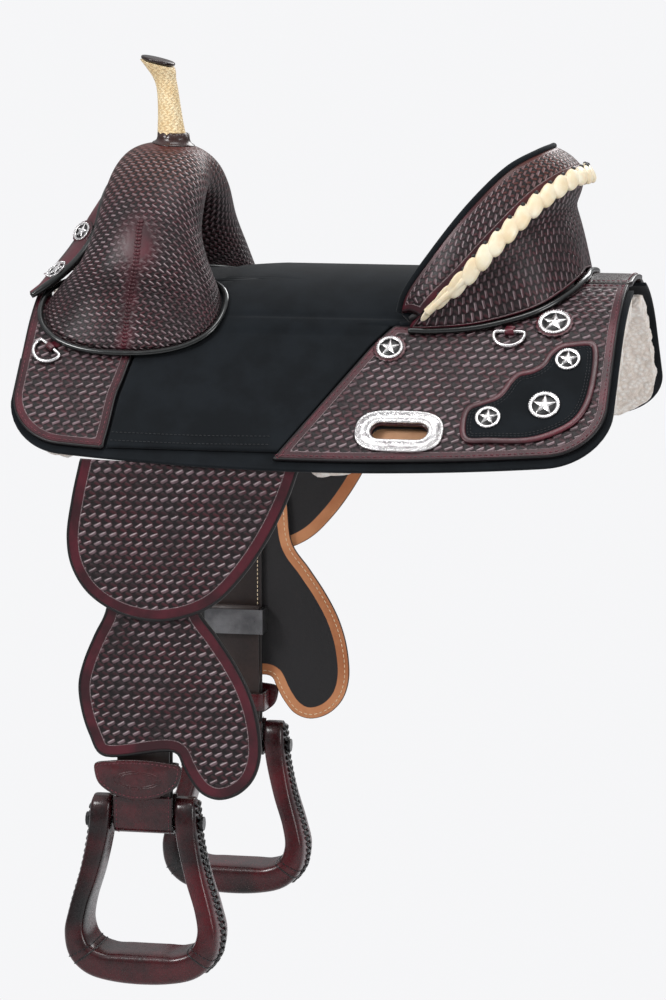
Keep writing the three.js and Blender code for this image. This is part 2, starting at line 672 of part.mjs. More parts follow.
const FLAP = [
  [-266, -143], [-276, -180], [-282, -224], [-277, -256], [-259, -285], [-227, -306], [-188, -315],
  [-152, -311], [-115, -295], [-85, -266], [-56, -225], [-32, -178], [-19, -143],
];
const FENDER = [
  [-215, -176], [-232, -240], [-240, -306], [-253, -333], [-266, -364], [-272, -390], [-269, -419],
  [-260, -447], [-246, -470], [-161, -464], [-153, -478], [-144, -494], [-131, -509], [-113, -515],
  [-91, -509], [-73, -492], [-64, -466], [-66, -427], [-76, -392], [-92, -361], [-113, -330],
  [-134, -300], [-142, -240], [-165, -176],
];

// A strip bent over the stirrup bolt, seen along the bolt: [distance from centre plane, z].
function bentStrip(frontY, backY, frontTop, backTop, thickness) {
  const [front, back] = [frontY, backY];
  const outerRadius = (front - back) / 2;
  const middle = (front + back) / 2;
  const bend = (radius, angles) =>
    angles.map((angle) => [middle + radius * Math.cos(angle), BOLT_Z + radius * Math.sin(angle)]);
  return [
    [front, frontTop],
    ...bend(outerRadius, steps(0, -Math.PI, 8)),
    [back, backTop],
    [back + thickness, backTop],
    ...bend(outerRadius - thickness, steps(-Math.PI, 0, 8)),
    [front - thickness, frontTop],
  ];
}

// The strip's outline drawn across the bolt and stretched along it.
function alongBolt(outline, halfWidth, side) {
  const shape = new THREE.Shape(outline.map(([y, z]) => new THREE.Vector2(y, z)));
  const geometry = new THREE.ExtrudeGeometry(shape, { depth: 2 * halfWidth, bevelEnabled: false });
  geometry.translate(0, 0, -halfWidth);
  const basis = new THREE.Matrix4().makeBasis(V(0, 1, 0), V(0, 0, 1), V(1, 0, 0));
  geometry.applyMatrix4(basis);
  if (side < 0) geometry.rotateZ(Math.PI);
  return geometry.translate(HANG_X, 0, 0);
}

// Half of the stirrup from its ear to the tread: outer and inner half width with z, and depth.
const STIRRUP = [
  { out: [58, -517], in: [36.5, -517], depth: 14 },
  { out: [60, -524], in: [36.5, -524], depth: 30 },
  { out: [61.5, -538], in: [36.5, -538], depth: 38 },
  { out: [63.5, -560], in: [38.5, -560], depth: 42 },
  { out: [72, -602], in: [49, -605], depth: 50 },
  { out: [84, -645], in: [61, -643], depth: 58 },
  { out: [89, -672], in: [64, -666], depth: 63 },
  { out: [83, -699], in: [57, -684], depth: 67 },
  { out: [64, -718], in: [40, -691], depth: 68 },
  { out: [30, -727], in: [20, -691], depth: 68 },
];

function stirrupRings(side) {
  const half = STIRRUP.map((p) => ({ ...p }));
  const whole = [
    ...half.map((p) => ({ out: [-p.out[0], p.out[1]], in: [-p.in[0], p.in[1]], depth: p.depth })),
    ...half.reverse(),
  ];
  const cutCorner = 0.15;
  return whole.map(({ out, in: inner, depth }) => {
    const a = V(HANG_X + out[0], 0, out[1]);
    const b = V(HANG_X + inner[0], 0, inner[1]);
    const point = (u, v) => a.clone().lerp(b, u).add(V(0, side * (BOLT_Y + (v - 0.5) * depth), 0));
    return [
      point(0, cutCorner), point(cutCorner, 0), point(1, 0), point(1, 1),
      point(cutCorner, 1), point(0, 1 - cutCorner),
    ];
  });
}

function addHangingSide(prefix, side) {
  const name = (piece) => `${prefix}_${piece}`;
  const at = (x, y, z) => V(x, side * y, z);

  // The hanger: a leaf between skirt and fleece, an upright plate and the pin that it carries.
  const leaf = drapeSheet(side, [HANG_X - 16, HANG_X + 16], () => 212, () => 319, 2, [-11.5, -8.5]);
  const plate = box([HANG_X - 16, HANG_X + 16], [side * 235.4, side * 238.4], [PIN_Z - 14, -135.5]);
  const pin = rod(at(HANG_X, 236.5, PIN_Z), at(HANG_X, 224.2, PIN_Z), 5, 14);
  const head = rod(at(HANG_X, 226.6, PIN_Z), at(HANG_X, 224.2, PIN_Z), 9, 14);
  add(name("stirrup_hanger"), join(leaf, plate, pin, head), STEEL);

  add(name("flap"), hangingLeather(smoothOutline(FLAP, 34), FLAP_Y, side), BURGUNDY);
  add(name("fender"), hangingLeather(smoothOutline(FENDER, 52), FENDER_Y, side), BURGUNDY);

  const LOW_Z = -508;
  const neck = [];
  for (const angle of steps(0, Math.PI, 8)) {
    neck.push([HANG_X + 15 * Math.cos(angle), PIN_Z + 15 * Math.sin(angle)]);
  }
  const shoulder = PIN_Z - 42;
  const half = LEATHER_HALF_WIDTH;
  const edges = [HANG_X + half, HANG_X - half];
  const strap = [[edges[0], LOW_Z], [edges[0], shoulder], ...neck, [edges[1], shoulder], [edges[1], LOW_Z]];
  const eyelet = new THREE.Path().absarc(HANG_X, PIN_Z, 5.6, 0, 2 * Math.PI, true);
  const front = hangingLeather(strap, LEATHER_Y, side, [eyelet]);
  const BUCKLE_Z = -392;
  const bent = alongBolt(bentStrip(LEATHER_Y[1], BACK_LAYER_Y[0], LOW_Z - 0.5, BUCKLE_Z + 18, 5), half, side);
  const width = [HANG_X - half, HANG_X + half];
  const bridge = box(width, [side * LEATHER_Y[0], side * LEATHER_Y[1]], [LOW_Z - 4, LOW_Z + 2]);
  const postHoles = [-12, 12].map((x) =>
    rod(at(HANG_X + x, BACK_LAYER_Y[0] - 2, BUCKLE_Z), at(HANG_X + x, BACK_LAYER_Y[1] + 2, BUCKLE_Z), 4, 12));
  add(name("stirrup_leather"), cut(join(front, bridge, bent), ...postHoles), STRAP_LEATHER);

  const baseHeight = [BUCKLE_Z - 12, BUCKLE_Z + 12];
  const buckleBase = box([HANG_X - 24, HANG_X + 24], [side * 219.8, side * 222.4], baseHeight);
  const posts = [-12, 12].map((x) =>
    rod(at(HANG_X + x, 221, BUCKLE_Z), at(HANG_X + x, 210.6, BUCKLE_Z), 3.4, 12));
  add(name("buckle_plate"), join(buckleBase, ...posts), STEEL);

  const keeperZ = [BUCKLE_Z - 16, BUCKLE_Z + 14];
  const keeper = box([HANG_X - 36, HANG_X + 36], [side * 206.5, side * 235.4], keeperZ);
  const throughHeight = [BUCKLE_Z - 30, BUCKLE_Z + 30];
  const through = box([HANG_X - 31.5, HANG_X + 31.5], [side * 209.2, side * 233.7], throughHeight);
  add(name("buckle_sleeve"), cut(keeper, through), STEEL);

  const sleeveStrip = bentStrip(LEATHER_Y[1] + 3.6, BACK_LAYER_Y[0] - 3.6, -516, -516, 3);
  const sleeve = alongBolt(sleeveStrip, half + 4, side);
  add(name("bolt_sleeve"), sleeve, STIRRUP_LEATHER);

  const hobbleEdge = [[-49, -477], [0, -473], [49, -477], [49, -500], [36, -508], [20, -515], [0, -518],
    [-20, -515], [-36, -508], [-49, -500]];
  const hobbleFace = hangingLeather(hobbleEdge.map(([x, z]) => [HANG_X - 3 + x, z]), [243.4, 247.2], side);
  const beltOut = box([HANG_X - 41, HANG_X + 37], [side * 207.5, side * 244], [-503, -481]);
  const beltIn = box([HANG_X - 37, HANG_X + 33], [side * 210.5, side * 241.6], [-513, -471]);
  add(name("hobble_strap"), join(cut(beltOut, beltIn), hobbleFace), STIRRUP_LEATHER);

  const bore = rod(at(HANG_X - 80, BOLT_Y, BOLT_Z), at(HANG_X + 80, BOLT_Y, BOLT_Z), BOLT_RADIUS + 0.4, 16);
  add(name("stirrup_frame"), cut(ringLoft(stirrupRings(side)), bore), STIRRUP_LEATHER);
  const shank = rod(at(HANG_X - 66, BOLT_Y, BOLT_Z), at(HANG_X + 66, BOLT_Y, BOLT_Z), BOLT_RADIUS, 12);
  const heads = [-1, 1].map((end) =>
    rod(at(HANG_X + end * 63.8, BOLT_Y, BOLT_Z), at(HANG_X + end * 67.6, BOLT_Y, BOLT_Z), 8, 12));
  add(name("stirrup_bolt"), join(shank, ...heads), STEEL);
}

// ---- assembly --------------------------------------------------------------------------------
addFork();
addHorn();
addBridges();
addCantle();
addSeat();
for (const [prefix, side] of [["left", -1], ["right", 1]]) {
  addSide(prefix, side);
  for (const place of Object.keys(DEES)) addDee(prefix, place, side);
  addHangingSide(prefix, side);
}

export default saddle;
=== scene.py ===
"""A western saddle: the visible leather, suede, rawhide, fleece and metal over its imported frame."""
import math

import bmesh
import bpy
import numpy as np
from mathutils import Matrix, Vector, noise
from mathutils.bvhtree import BVHTree


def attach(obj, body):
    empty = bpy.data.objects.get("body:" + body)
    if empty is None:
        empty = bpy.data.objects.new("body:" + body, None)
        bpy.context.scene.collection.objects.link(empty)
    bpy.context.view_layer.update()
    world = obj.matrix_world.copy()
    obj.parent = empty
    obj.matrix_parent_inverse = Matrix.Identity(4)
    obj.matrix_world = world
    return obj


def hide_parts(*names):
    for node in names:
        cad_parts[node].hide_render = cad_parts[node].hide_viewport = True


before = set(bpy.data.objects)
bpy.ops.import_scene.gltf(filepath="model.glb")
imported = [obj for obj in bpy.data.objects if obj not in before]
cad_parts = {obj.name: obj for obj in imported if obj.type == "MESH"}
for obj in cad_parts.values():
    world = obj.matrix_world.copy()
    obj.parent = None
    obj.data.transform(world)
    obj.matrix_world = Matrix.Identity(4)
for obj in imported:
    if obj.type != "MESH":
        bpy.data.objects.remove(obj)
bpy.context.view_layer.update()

MM = 0.001
SIDES = (("left", -1), ("right", 1))

# ---- sizes of the design, in millimetres, as in the frame --------------------------------------
# The horse's back is a ridge of DRAPE_RADIUS that runs out to flat sides at DRAPE_ANGLE. x runs along
# it, s down from the ridge, and heights stand out from the skirt's face.
RIDGE_Z, DRAPE_RADIUS, DRAPE_ANGLE = 50, 190, math.radians(48)
SEAT_TOP, JOCKEY_TOP, HEM = 5, 6.3, 7.1
SKIRT_FRONT, SKIRT_REAR, SKIRT_LENGTH = -358, 320, 331
SLOT = {"x": 89, "s": 281, "half_x": 32, "half_s": 11}
FLAP_Y, FENDER_Y = (244.6, 248.6), (236.2, 240.8)
HANG_X, BOLT_Y, BOLT_Z = -200, 223.5, -546

# ---- number helpers ------------------------------------------------------------------------------


def unit(v):
    v = np.asarray(v, float)
    return v / np.maximum(np.linalg.norm(v, axis=-1, keepdims=True), 1e-12)


def together(*values):
    return np.broadcast_arrays(*(np.asarray(v, float) for v in values))


def full_turn(count):
    return np.linspace(0, 2 * math.pi, count, endpoint=False)


def squared(turn, across, up):
    """Cosine and sine of a turn, pushed out towards a square by powers below 1."""
    c, s = np.cos(turn), np.sin(turn)
    return np.sign(c) * np.abs(c) ** across, np.sign(s) * np.abs(s) ** up


def run_length(points):
    """Length along a line up to each of its points."""
    return np.concatenate([[0], np.cumsum(np.linalg.norm(np.diff(points, axis=0), axis=1))])


def line_normal(line):
    """Crosswise direction of a closed flat line at each of its points."""
    following = np.roll(line, -1, axis=0) - np.roll(line, 1, axis=0)
    return unit(np.stack([-following[:, 1], following[:, 0]], axis=1))


def path_tangent(path, closed=False):
    if closed:
        return unit(np.roll(path, -1, axis=0) - np.roll(path, 1, axis=0))
    return unit(np.gradient(path, axis=0))


def spline(points, count, closed=False):
    """Centripetal Catmull-Rom through the points, evenly stepped over the spans."""
    p = np.asarray(points, float)
    n = len(p)
    if closed:
        ctrl = np.vstack([p[-1], p, p[0], p[1]])
        spans = n
    else:
        ctrl = np.vstack([2 * p[0] - p[1], p, 2 * p[-1] - p[-2]])
        spans = n - 1
    t = np.linspace(0, spans, count, endpoint=not closed)
    out = []
    for value in t:
        i = min(int(value), spans - 1)
        f = value - i
        q = ctrl[i : i + 4]
        k = [0.0]
        for a, b in zip(q, q[1:]):
            k.append(k[-1] + max(np.linalg.norm(b - a) ** 0.5, 1e-9))
        x = k[1] + f * (k[2] - k[1])
        a1 = q[0] * (k[1] - x) / (k[1] - k[0]) + q[1] * (x - k[0]) / (k[1] - k[0])
        a2 = q[1] * (k[2] - x) / (k[2] - k[1]) + q[2] * (x - k[1]) / (k[2] - k[1])
        a3 = q[2] * (k[3] - x) / (k[3] - k[2]) + q[3] * (x - k[2]) / (k[3] - k[2])
        b1 = a1 * (k[2] - x) / (k[2] - k[0]) + a2 * (x - k[0]) / (k[2] - k[0])
        b2 = a2 * (k[3] - x) / (k[3] - k[1]) + a3 * (x - k[1]) / (k[3] - k[1])
        out.append(b1 * (k[2] - x) / (k[2] - k[1]) + b2 * (x - k[1]) / (k[2] - k[1]))
    return np.array(out)


def resample(points, spacing, closed=False):
    """The same line with points at an even spacing."""
    p = np.asarray(points, float)
    if closed:
        p = np.vstack([p, p[:1]])
    lengths = run_length(p)
    count = max(int(round(lengths[-1] / spacing)), 2)
    at = np.linspace(0, lengths[-1], count, endpoint=not closed)
    return np.stack([np.interp(at, lengths, p[:, k]) for k in range(p.shape[1])], axis=1)


def mirrored(points):
    p = [tuple(q) for q in points]
    return [(x, -y, *rest) for x, y, *rest in reversed(p[1:])] + p


def distance_to(points, line, closed=True):
    """Distance of each 2-D point from a polyline."""
    a = np.asarray(line, float)
    b = np.roll(a, -1, axis=0) if closed else a[1:]
    a = a if closed else a[:-1]
    best = np.full(len(points), 1e9)
    for p, q in zip(a, b):
        d = q - p
        t = np.clip(((points - p) @ d) / max(d @ d, 1e-12), 0, 1)
        best = np.minimum(best, np.linalg.norm(points - (p + t[:, None] * d), axis=1))
    return best


# ---- surfaces: each maps two lengths and a height, in mm, to a place in mm -----------------------


def drape(x, s, h):
    """Over the horse's back: x along it, s down from its ridge, negative to the left."""
    x, s, h = together(x, s, h)
    reach, side = np.abs(s), np.where(s < 0, -1.0, 1.0)
    flat_from = DRAPE_RADIUS * DRAPE_ANGLE
    angle = np.minimum(reach, flat_from) / DRAPE_RADIUS
    run = np.maximum(reach - flat_from, 0)
    y = (DRAPE_RADIUS + h) * np.sin(angle) + run * np.cos(angle)
    z = RIDGE_Z - DRAPE_RADIUS + (DRAPE_RADIUS + h) * np.cos(angle) - run * np.sin(angle)
    return np.stack([x, side * y, z], axis=-1)


def hanging(side):
    """A flat leather beside the horse: lengths are x and z, height is out from the centre plane."""
    def place(x, z, h):
        x, z, h = together(x, z, h)
        return np.stack([x, side * h, z], axis=-1)
    return place


# ---- mesh helpers --------------------------------------------------------------------------------


FAR_FROM_EDGE = 40.0


def add_object(name, data):
    obj = bpy.data.objects.new(name, data)
    bpy.context.scene.collection.objects.link(obj)
    return obj


def make_mesh(name, points, faces, uv=None, edge=None, plain=None):
    """points in mm. uv, edge (in mm) and plain (0 to 1, where no stamp is wanted) guide the
    materials, with one value per vertex."""
    mesh = bpy.data.meshes.new(name)
    mesh.from_pydata([tuple(p) for p in np.asarray(points, float) * MM], [], [tuple(f) for f in faces])
    mesh.validate()
    if uv is not None:
        layer = mesh.uv_layers.new(name="Weave")
        loops = np.empty(len(mesh.loops), int)
        mesh.loops.foreach_get("vertex_index", loops)
        layer.data.foreach_set("uv", (np.asarray(uv, float)[loops] * MM).ravel())
    if edge is None:
        edge = np.full(len(points), FAR_FROM_EDGE)
    attribute = mesh.attributes.new("edge", "FLOAT", "POINT")
    attribute.data.foreach_set("value", np.asarray(edge, float) * MM)
    if plain is not None:
        attribute = mesh.attributes.new("plain", "FLOAT", "POINT")
        attribute.data.foreach_set("value", np.asarray(plain, float))
    obj = add_object(name, mesh)
    box = bmesh.new()
    box.from_mesh(mesh)
    bmesh.ops.recalc_face_normals(box, faces=box.faces)
    box.to_mesh(mesh)
    box.free()
    mesh.polygons.foreach_set("use_smooth", [True] * len(mesh.polygons))
    return obj


def ring_faces(rings, count, closed=True, looped=False):
    faces = []
    last = rings if looped else rings - 1
    for i in range(last):
        a, b = i * count, ((i + 1) % rings) * count
        for j in range(count if closed else count - 1):
            k = (j + 1) % count
            faces.append((a + j, a + k, b + k, b + j))
    return faces


def body_faces(rings, count, first=0):
    """Faces of a closed body through rings of points that are numbered from first on."""
    last = (rings - 1) * count
    faces = [*ring_faces(rings, count), tuple(range(count))[::-1], tuple(range(last, last + count))]
    return [tuple(first + i for i in f) for f in faces]


def skin_faces(rows, cols):
    """Faces of a thick sheet: a grid of upper points, and the same grid of under points after it."""
    shift = rows * cols
    faces = ring_faces(rows, cols, closed=False)
    faces += [tuple(shift + i for i in f[::-1]) for f in faces]
    rim = [*range(cols), *[i * cols + cols - 1 for i in range(1, rows)],
           *[(rows - 1) * cols + j for j in range(cols - 2, -1, -1)],
           *[i * cols for i in range(rows - 2, 0, -1)]]
    return faces + [(b, a, shift + a, shift + b) for a, b in zip(rim, rim[1:] + rim[:1])], rim


def two_skins(name, outer, inner, faces, uv, edge, plain=None):
    """A sheet between two grids of points that share their uv, edge and plain values."""
    return make_mesh(name, np.vstack([outer.reshape(-1, 3), inner.reshape(-1, 3)]), faces,
                     np.vstack([uv.reshape(-1, 2)] * 2), np.tile(edge.ravel(), 2),
                     None if plain is None else np.tile(plain.ravel(), 2))


def lofted(name, rings, looped=False, uv=None, edge=None):
    """A solid through rings of points, in mm."""
    rings = np.asarray(rings, float)
    count = rings.shape[1]
    faces = ring_faces(len(rings), count, looped=True) if looped else body_faces(len(rings), count)
    flat = rings.reshape(-1, 3)
    uv = None if uv is None else np.asarray(uv, float).reshape(-1, 2)
    edge = None if edge is None else np.asarray(edge, float).ravel()
    return make_mesh(name, flat, faces, uv, edge)


def carried_frames(path, closed=False):
    """Tangent and two crosswise directions along a path, without twist."""
    p = np.asarray(path, float)
    tangent = path_tangent(p, closed)
    seed = np.array([1.0, 0, 0]) if abs(tangent[0][0]) < 0.9 else np.array([0, 1.0, 0])
    normals = []
    normal = seed
    for t in tangent:
        normal = unit(normal - t * (normal @ t))
        normals.append(normal)
    normals = np.array(normals)
    return tangent, normals, np.cross(tangent, normals)


def tube(name, path, radius, sides=12, closed=False):
    p = np.asarray(path, float)
    _, normal, across = carried_frames(p, closed)
    radius = np.broadcast_to(np.asarray(radius, float), (len(p),))
    turn = full_turn(sides)
    rings = (p[:, None] + radius[:, None, None] * (
        normal[:, None] * np.cos(turn)[None, :, None] + across[:, None] * np.sin(turn)[None, :, None]))
    uv = np.stack(np.broadcast_arrays(run_length(p)[:, None], turn[None, :] * radius.mean()), axis=-1)
    return lofted(name, rings, looped=closed, uv=uv)


def panel(name, outline, centre, surface, low, high, step=4.0, rings=14, crown=0.0, rounding=1.4,
          edge_line=None):
    """A leather cut to a closed outline, with rounded edges, on a surface. It fans out from centre,
    so that every point of the outline is seen from there. crown lifts its middle."""
    line = resample(outline, step, closed=True)
    centre = np.asarray(centre, float)
    reach = np.linalg.norm(line - centre, axis=1)
    near = [0.0, rounding * 0.3, rounding, 3.0, 6.0, 9.0, 12.0, 16.0]
    far = [lambda r, f=f: 16 + (r - 16) * f for f in np.linspace(0, 1, rings)[1:-1]]
    steps = [lambda r, d=d: np.minimum(d, r * 0.7) for d in near] + far
    top, under = [], []
    for i, inset in enumerate(steps):
        d = inset(reach)
        at = line + (centre - line) * (d / reach)[:, None]
        drop = {0: rounding, 1: rounding * 0.3}.get(i, 0.0)
        lift = crown * (1 - np.exp(-((d / 14.0) ** 2))) if crown else 0.0
        top.append((at, high - drop + lift))
        under.append((at, low + drop))
    count = len(line)
    flat, height = [], []
    for at, h in top[::-1] + under:
        flat.append(at)
        height.append(np.broadcast_to(h, (count,)))
    flat = np.vstack(flat)
    height = np.concatenate(height)
    layers = len(top) + len(under)
    faces = ring_faces(layers, count)
    top_centre, under_centre = len(flat), len(flat) + 1
    flat = np.vstack([flat, centre, centre])
    height = np.concatenate([height, [high + crown, low]])
    last = (layers - 1) * count
    for j in range(count):
        k = (j + 1) % count
        faces.append((top_centre, k, j))
        faces.append((under_centre, last + j, last + k))
    points = surface(flat[:, 0], flat[:, 1], height)
    uphill = 1 if surface(*centre, high)[2] < surface(centre[0], centre[1] + 1, high)[2] else -1
    if edge_line is None:
        edge = distance_to(flat, line)
    else:
        edge = distance_to(flat, edge_line, closed=False)
    return make_mesh(name, points, faces, flat * (1, uphill), edge)


def sheet_grid(name, flat, surface, low, high, rounding=1.2):
    """A thick sheet over a grid of surface lengths, shape rows x cols x 2."""
    rows, cols = flat.shape[:2]
    inset = np.full((rows, cols), float(rounding))
    inset[1:-1, 1:-1] = 0
    a, b = flat[..., 0], flat[..., 1]
    faces, rim = skin_faces(rows, cols)
    edge = distance_to(flat.reshape(-1, 2), flat.reshape(-1, 2)[rim])
    return two_skins(name, surface(a, b, high - inset), surface(a, b, low + inset), faces, flat, edge)


# Rings of one stitch: place along it in lengths, width and rise in radii.
STITCH = ((-0.5, 0.15, -0.35), (-0.36, 0.8, 0.35), (0.0, 1.0, 0.75), (0.36, 0.8, 0.35), (0.5, 0.15, -0.35))


def stitch_row(name, path, up, spacing=4.6, length=3.1, radius=0.5, closed=False, lift=0.1):
    """Sewing thread as a row of stitches along a path; up is the leather's outward direction."""
    p = resample(np.asarray(path, float), spacing, closed)
    up = np.asarray(up, float)
    if up.ndim == 2:
        at = np.linspace(0, len(up) - 1, len(p)).round().astype(int)
        up = up[at]
    else:
        up = np.broadcast_to(up, p.shape)
    tangent = path_tangent(p, closed)
    side = unit(np.cross(tangent, up))
    up = unit(np.cross(side, tangent))
    points, faces = [], []
    for q, t, s, u in zip(p, tangent, side, up):
        faces += body_faces(len(STITCH), 6, len(points))
        for along_it, wide, high in STITCH:
            middle = q + t * along_it * length + u * (lift + high * radius * 0.6)
            for angle in full_turn(6):
                points.append(middle + radius * wide * (s * math.cos(angle) + u * math.sin(angle)))
    return make_mesh(name, points, faces)


def surface_path(surface, flat, height):
    """Places and outward directions of a line drawn on a surface."""
    flat = np.asarray(flat, float)
    low = surface(flat[:, 0], flat[:, 1], height)
    return low, unit(surface(flat[:, 0], flat[:, 1], height + 1) - low)


def inset_line(outline, centre, distance, step=2.0):
    line = resample(outline, step, closed=True)
    centre = np.asarray(centre, float)
    normal = line_normal(line)
    inward = np.sign(np.sum((centre - line) * normal, axis=1, keepdims=True))
    return line + normal * inward * distance


# ---- materials -----------------------------------------------------------------------------------


class Value:
    """A node's output. Arithmetic with it makes Math nodes."""

    def __init__(self, nodes, socket):
        self.nodes, self.socket = nodes, socket

    def math(self, operation, other=0.0):
        return self.nodes.math(operation, self, other)

    def __add__(self, other):
        return self.math("ADD", other)

    def __sub__(self, other):
        return self.math("SUBTRACT", other)

    def __rsub__(self, other):
        return self.nodes.math("SUBTRACT", other, self)

    def __mul__(self, other):
        return self.math("MULTIPLY", other)

    def __truediv__(self, other):
        return self.math("DIVIDE", other)

    def __pow__(self, other):
        return self.math("POWER", other)

    def __abs__(self):
        return self.math("ABSOLUTE")

    def clamped(self):
        self.socket.node.use_clamp = True
        return self


class Nodes:
    """A short way to write a node tree: each call makes one node and returns its output."""

    def __init__(self, name):
        self.material = bpy.data.materials.new(name)
        self.material.use_nodes = True
        self.tree = self.material.node_tree
        self.bsdf = self.tree.nodes["Principled BSDF"]

    def link(self, value, socket):
        if isinstance(value, Value):
            self.tree.links.new(value.socket, socket)
        elif isinstance(value, tuple) and len(value) == 3 and socket.type == "RGBA":
            socket.default_value = (*value, 1)
        else:
            socket.default_value = value

    def node(self, kind, output=0, settings=(), **inputs):
        """A new node with its settings and inputs; an input's key has _ for a space."""
        node = self.tree.nodes.new(kind)
        for key, value in dict(settings).items():
            setattr(node, key, value)
        for key, value in inputs.items():
            self.link(value, node.inputs[key.replace("_", " ")])
        return Value(self, node.outputs[output])

    def math(self, operation, a, b=0.0):
        result = self.node("ShaderNodeMath", settings={"operation": operation})
        for value, socket in zip((a, b), result.socket.node.inputs):
            self.link(value, socket)
        return result

    def attribute(self, name):
        return self.node("ShaderNodeAttribute", "Fac", {"attribute_name": name})

    def parts(self, vector):
        split = self.node("ShaderNodeSeparateXYZ", Vector=vector).socket.node
        return [Value(self, socket) for socket in split.outputs]

    def place(self):
        return self.node("ShaderNodeTexCoord", "Object")

    def noise(self, scale, detail=3.0, rough=0.55):
        return self.node("ShaderNodeTexNoise", "Fac", Vector=self.place(), Scale=scale, Detail=detail,
                         Roughness=rough)

    def cells(self, scale, feature="F1"):
        return self.node("ShaderNodeTexVoronoi", "Distance", {"feature": feature}, Vector=self.place(),
                         Scale=scale)

    def remap(self, value, a, b, c=0.0, d=1.0):
        return self.node("ShaderNodeMapRange", settings={"interpolation_type": "SMOOTHSTEP"}, Value=value,
                         From_Min=a, From_Max=b, To_Min=c, To_Max=d)

    def mix(self, factor, a, b):
        result = self.node("ShaderNodeMix", 2, {"data_type": "RGBA"})
        for value, number in ((factor, 0), (a, 6), (b, 7)):
            self.link(value, result.socket.node.inputs[number])
        return result

    def mottled(self, wave, low, high, first, second):
        """From one colour to another as a wave rises from low to high."""
        return self.mix(self.remap(wave, low, high), first, second)

    def bump(self, height, distance, strength=1.0, **normal):
        return self.node("ShaderNodeBump", Distance=distance, Strength=strength, Height=height, **normal)

    def finish(self, **inputs):
        for key, value in inputs.items():
            self.link(value, self.bsdf.inputs[key.replace("_", " ")])
        return self.material


def srgb(*c):
    """Linear colour from display values of 0 to 255."""
    return tuple(((v / 255 + 0.055) / 1.055) ** 2.4 if v > 10 else v / 255 / 12.92 for v in c)


STAMP_WIDTH, STAMP_HEIGHT = 11.7 * MM, 10.2 * MM
STAMP_SLANT = math.radians(27)
RISING_BAR = (5.7 * MM, 2.9 * MM)
FALLING_BAR = (5.4 * MM, 2.7 * MM)


def bar(u, v, slant, half_length, half_width):
    """A slanted rounded bar about u = v = 0: its relief, its distance across in half widths, and
    how far a point is from its ends."""
    c, s = math.cos(slant), math.sin(slant)
    down = u * (c / half_length) + v * (s / half_length)
    across = u * (-s / half_width) + v * (c / half_width)
    end = (1.0 - abs(down) ** 3.0).clamped()
    side = (1.0 - abs(across) ** 2.0).clamped()
    return end * side, across, end


def basket(n):
    """The basket stamp: bars rising one way, shifted by half a stamp from row to row, and lower
    bars falling the other way between them. Returns the relief, the share of rising bar, and a
    painted highlight along the upper edge of the rising bars."""
    u, v, _ = n.parts(n.node("ShaderNodeUVMap", settings={"uv_map": "Weave"}))
    wobble = (n.noise(60.0, 1.0) - 0.5) * (1.8 * MM)
    u, v = u + wobble, v - wobble

    def centred(shift):
        row_place = v / STAMP_HEIGHT + shift
        column = u / STAMP_WIDTH + row_place.math("FLOOR") * 0.5
        return (((column + shift).math("FRACT") - 0.5) * STAMP_WIDTH,
                (row_place.math("FRACT") - 0.5) * STAMP_HEIGHT)
    rising, across, ends = bar(*centred(0.0), STAMP_SLANT, *RISING_BAR)
    falling, _, _ = bar(*centred(0.5), -STAMP_SLANT, *FALLING_BAR)
    # Painted highlight: a thin pale stripe along the upper edge of each rising bar.
    upper_edge_highlight = n.remap(abs(across - 0.42), 0.05, 0.36, 1.0, 0.0) * n.remap(ends, 0.3, 0.8)
    return rising.math("MAXIMUM", falling * 0.72), rising, upper_edge_highlight


BORDER = 10.5 * MM
WARM_FROM = (120 * MM, 200 * MM)
# Colour of the painted highlight on the cut line inside the border.
CUT_HIGHLIGHT = srgb(176, 156, 158)


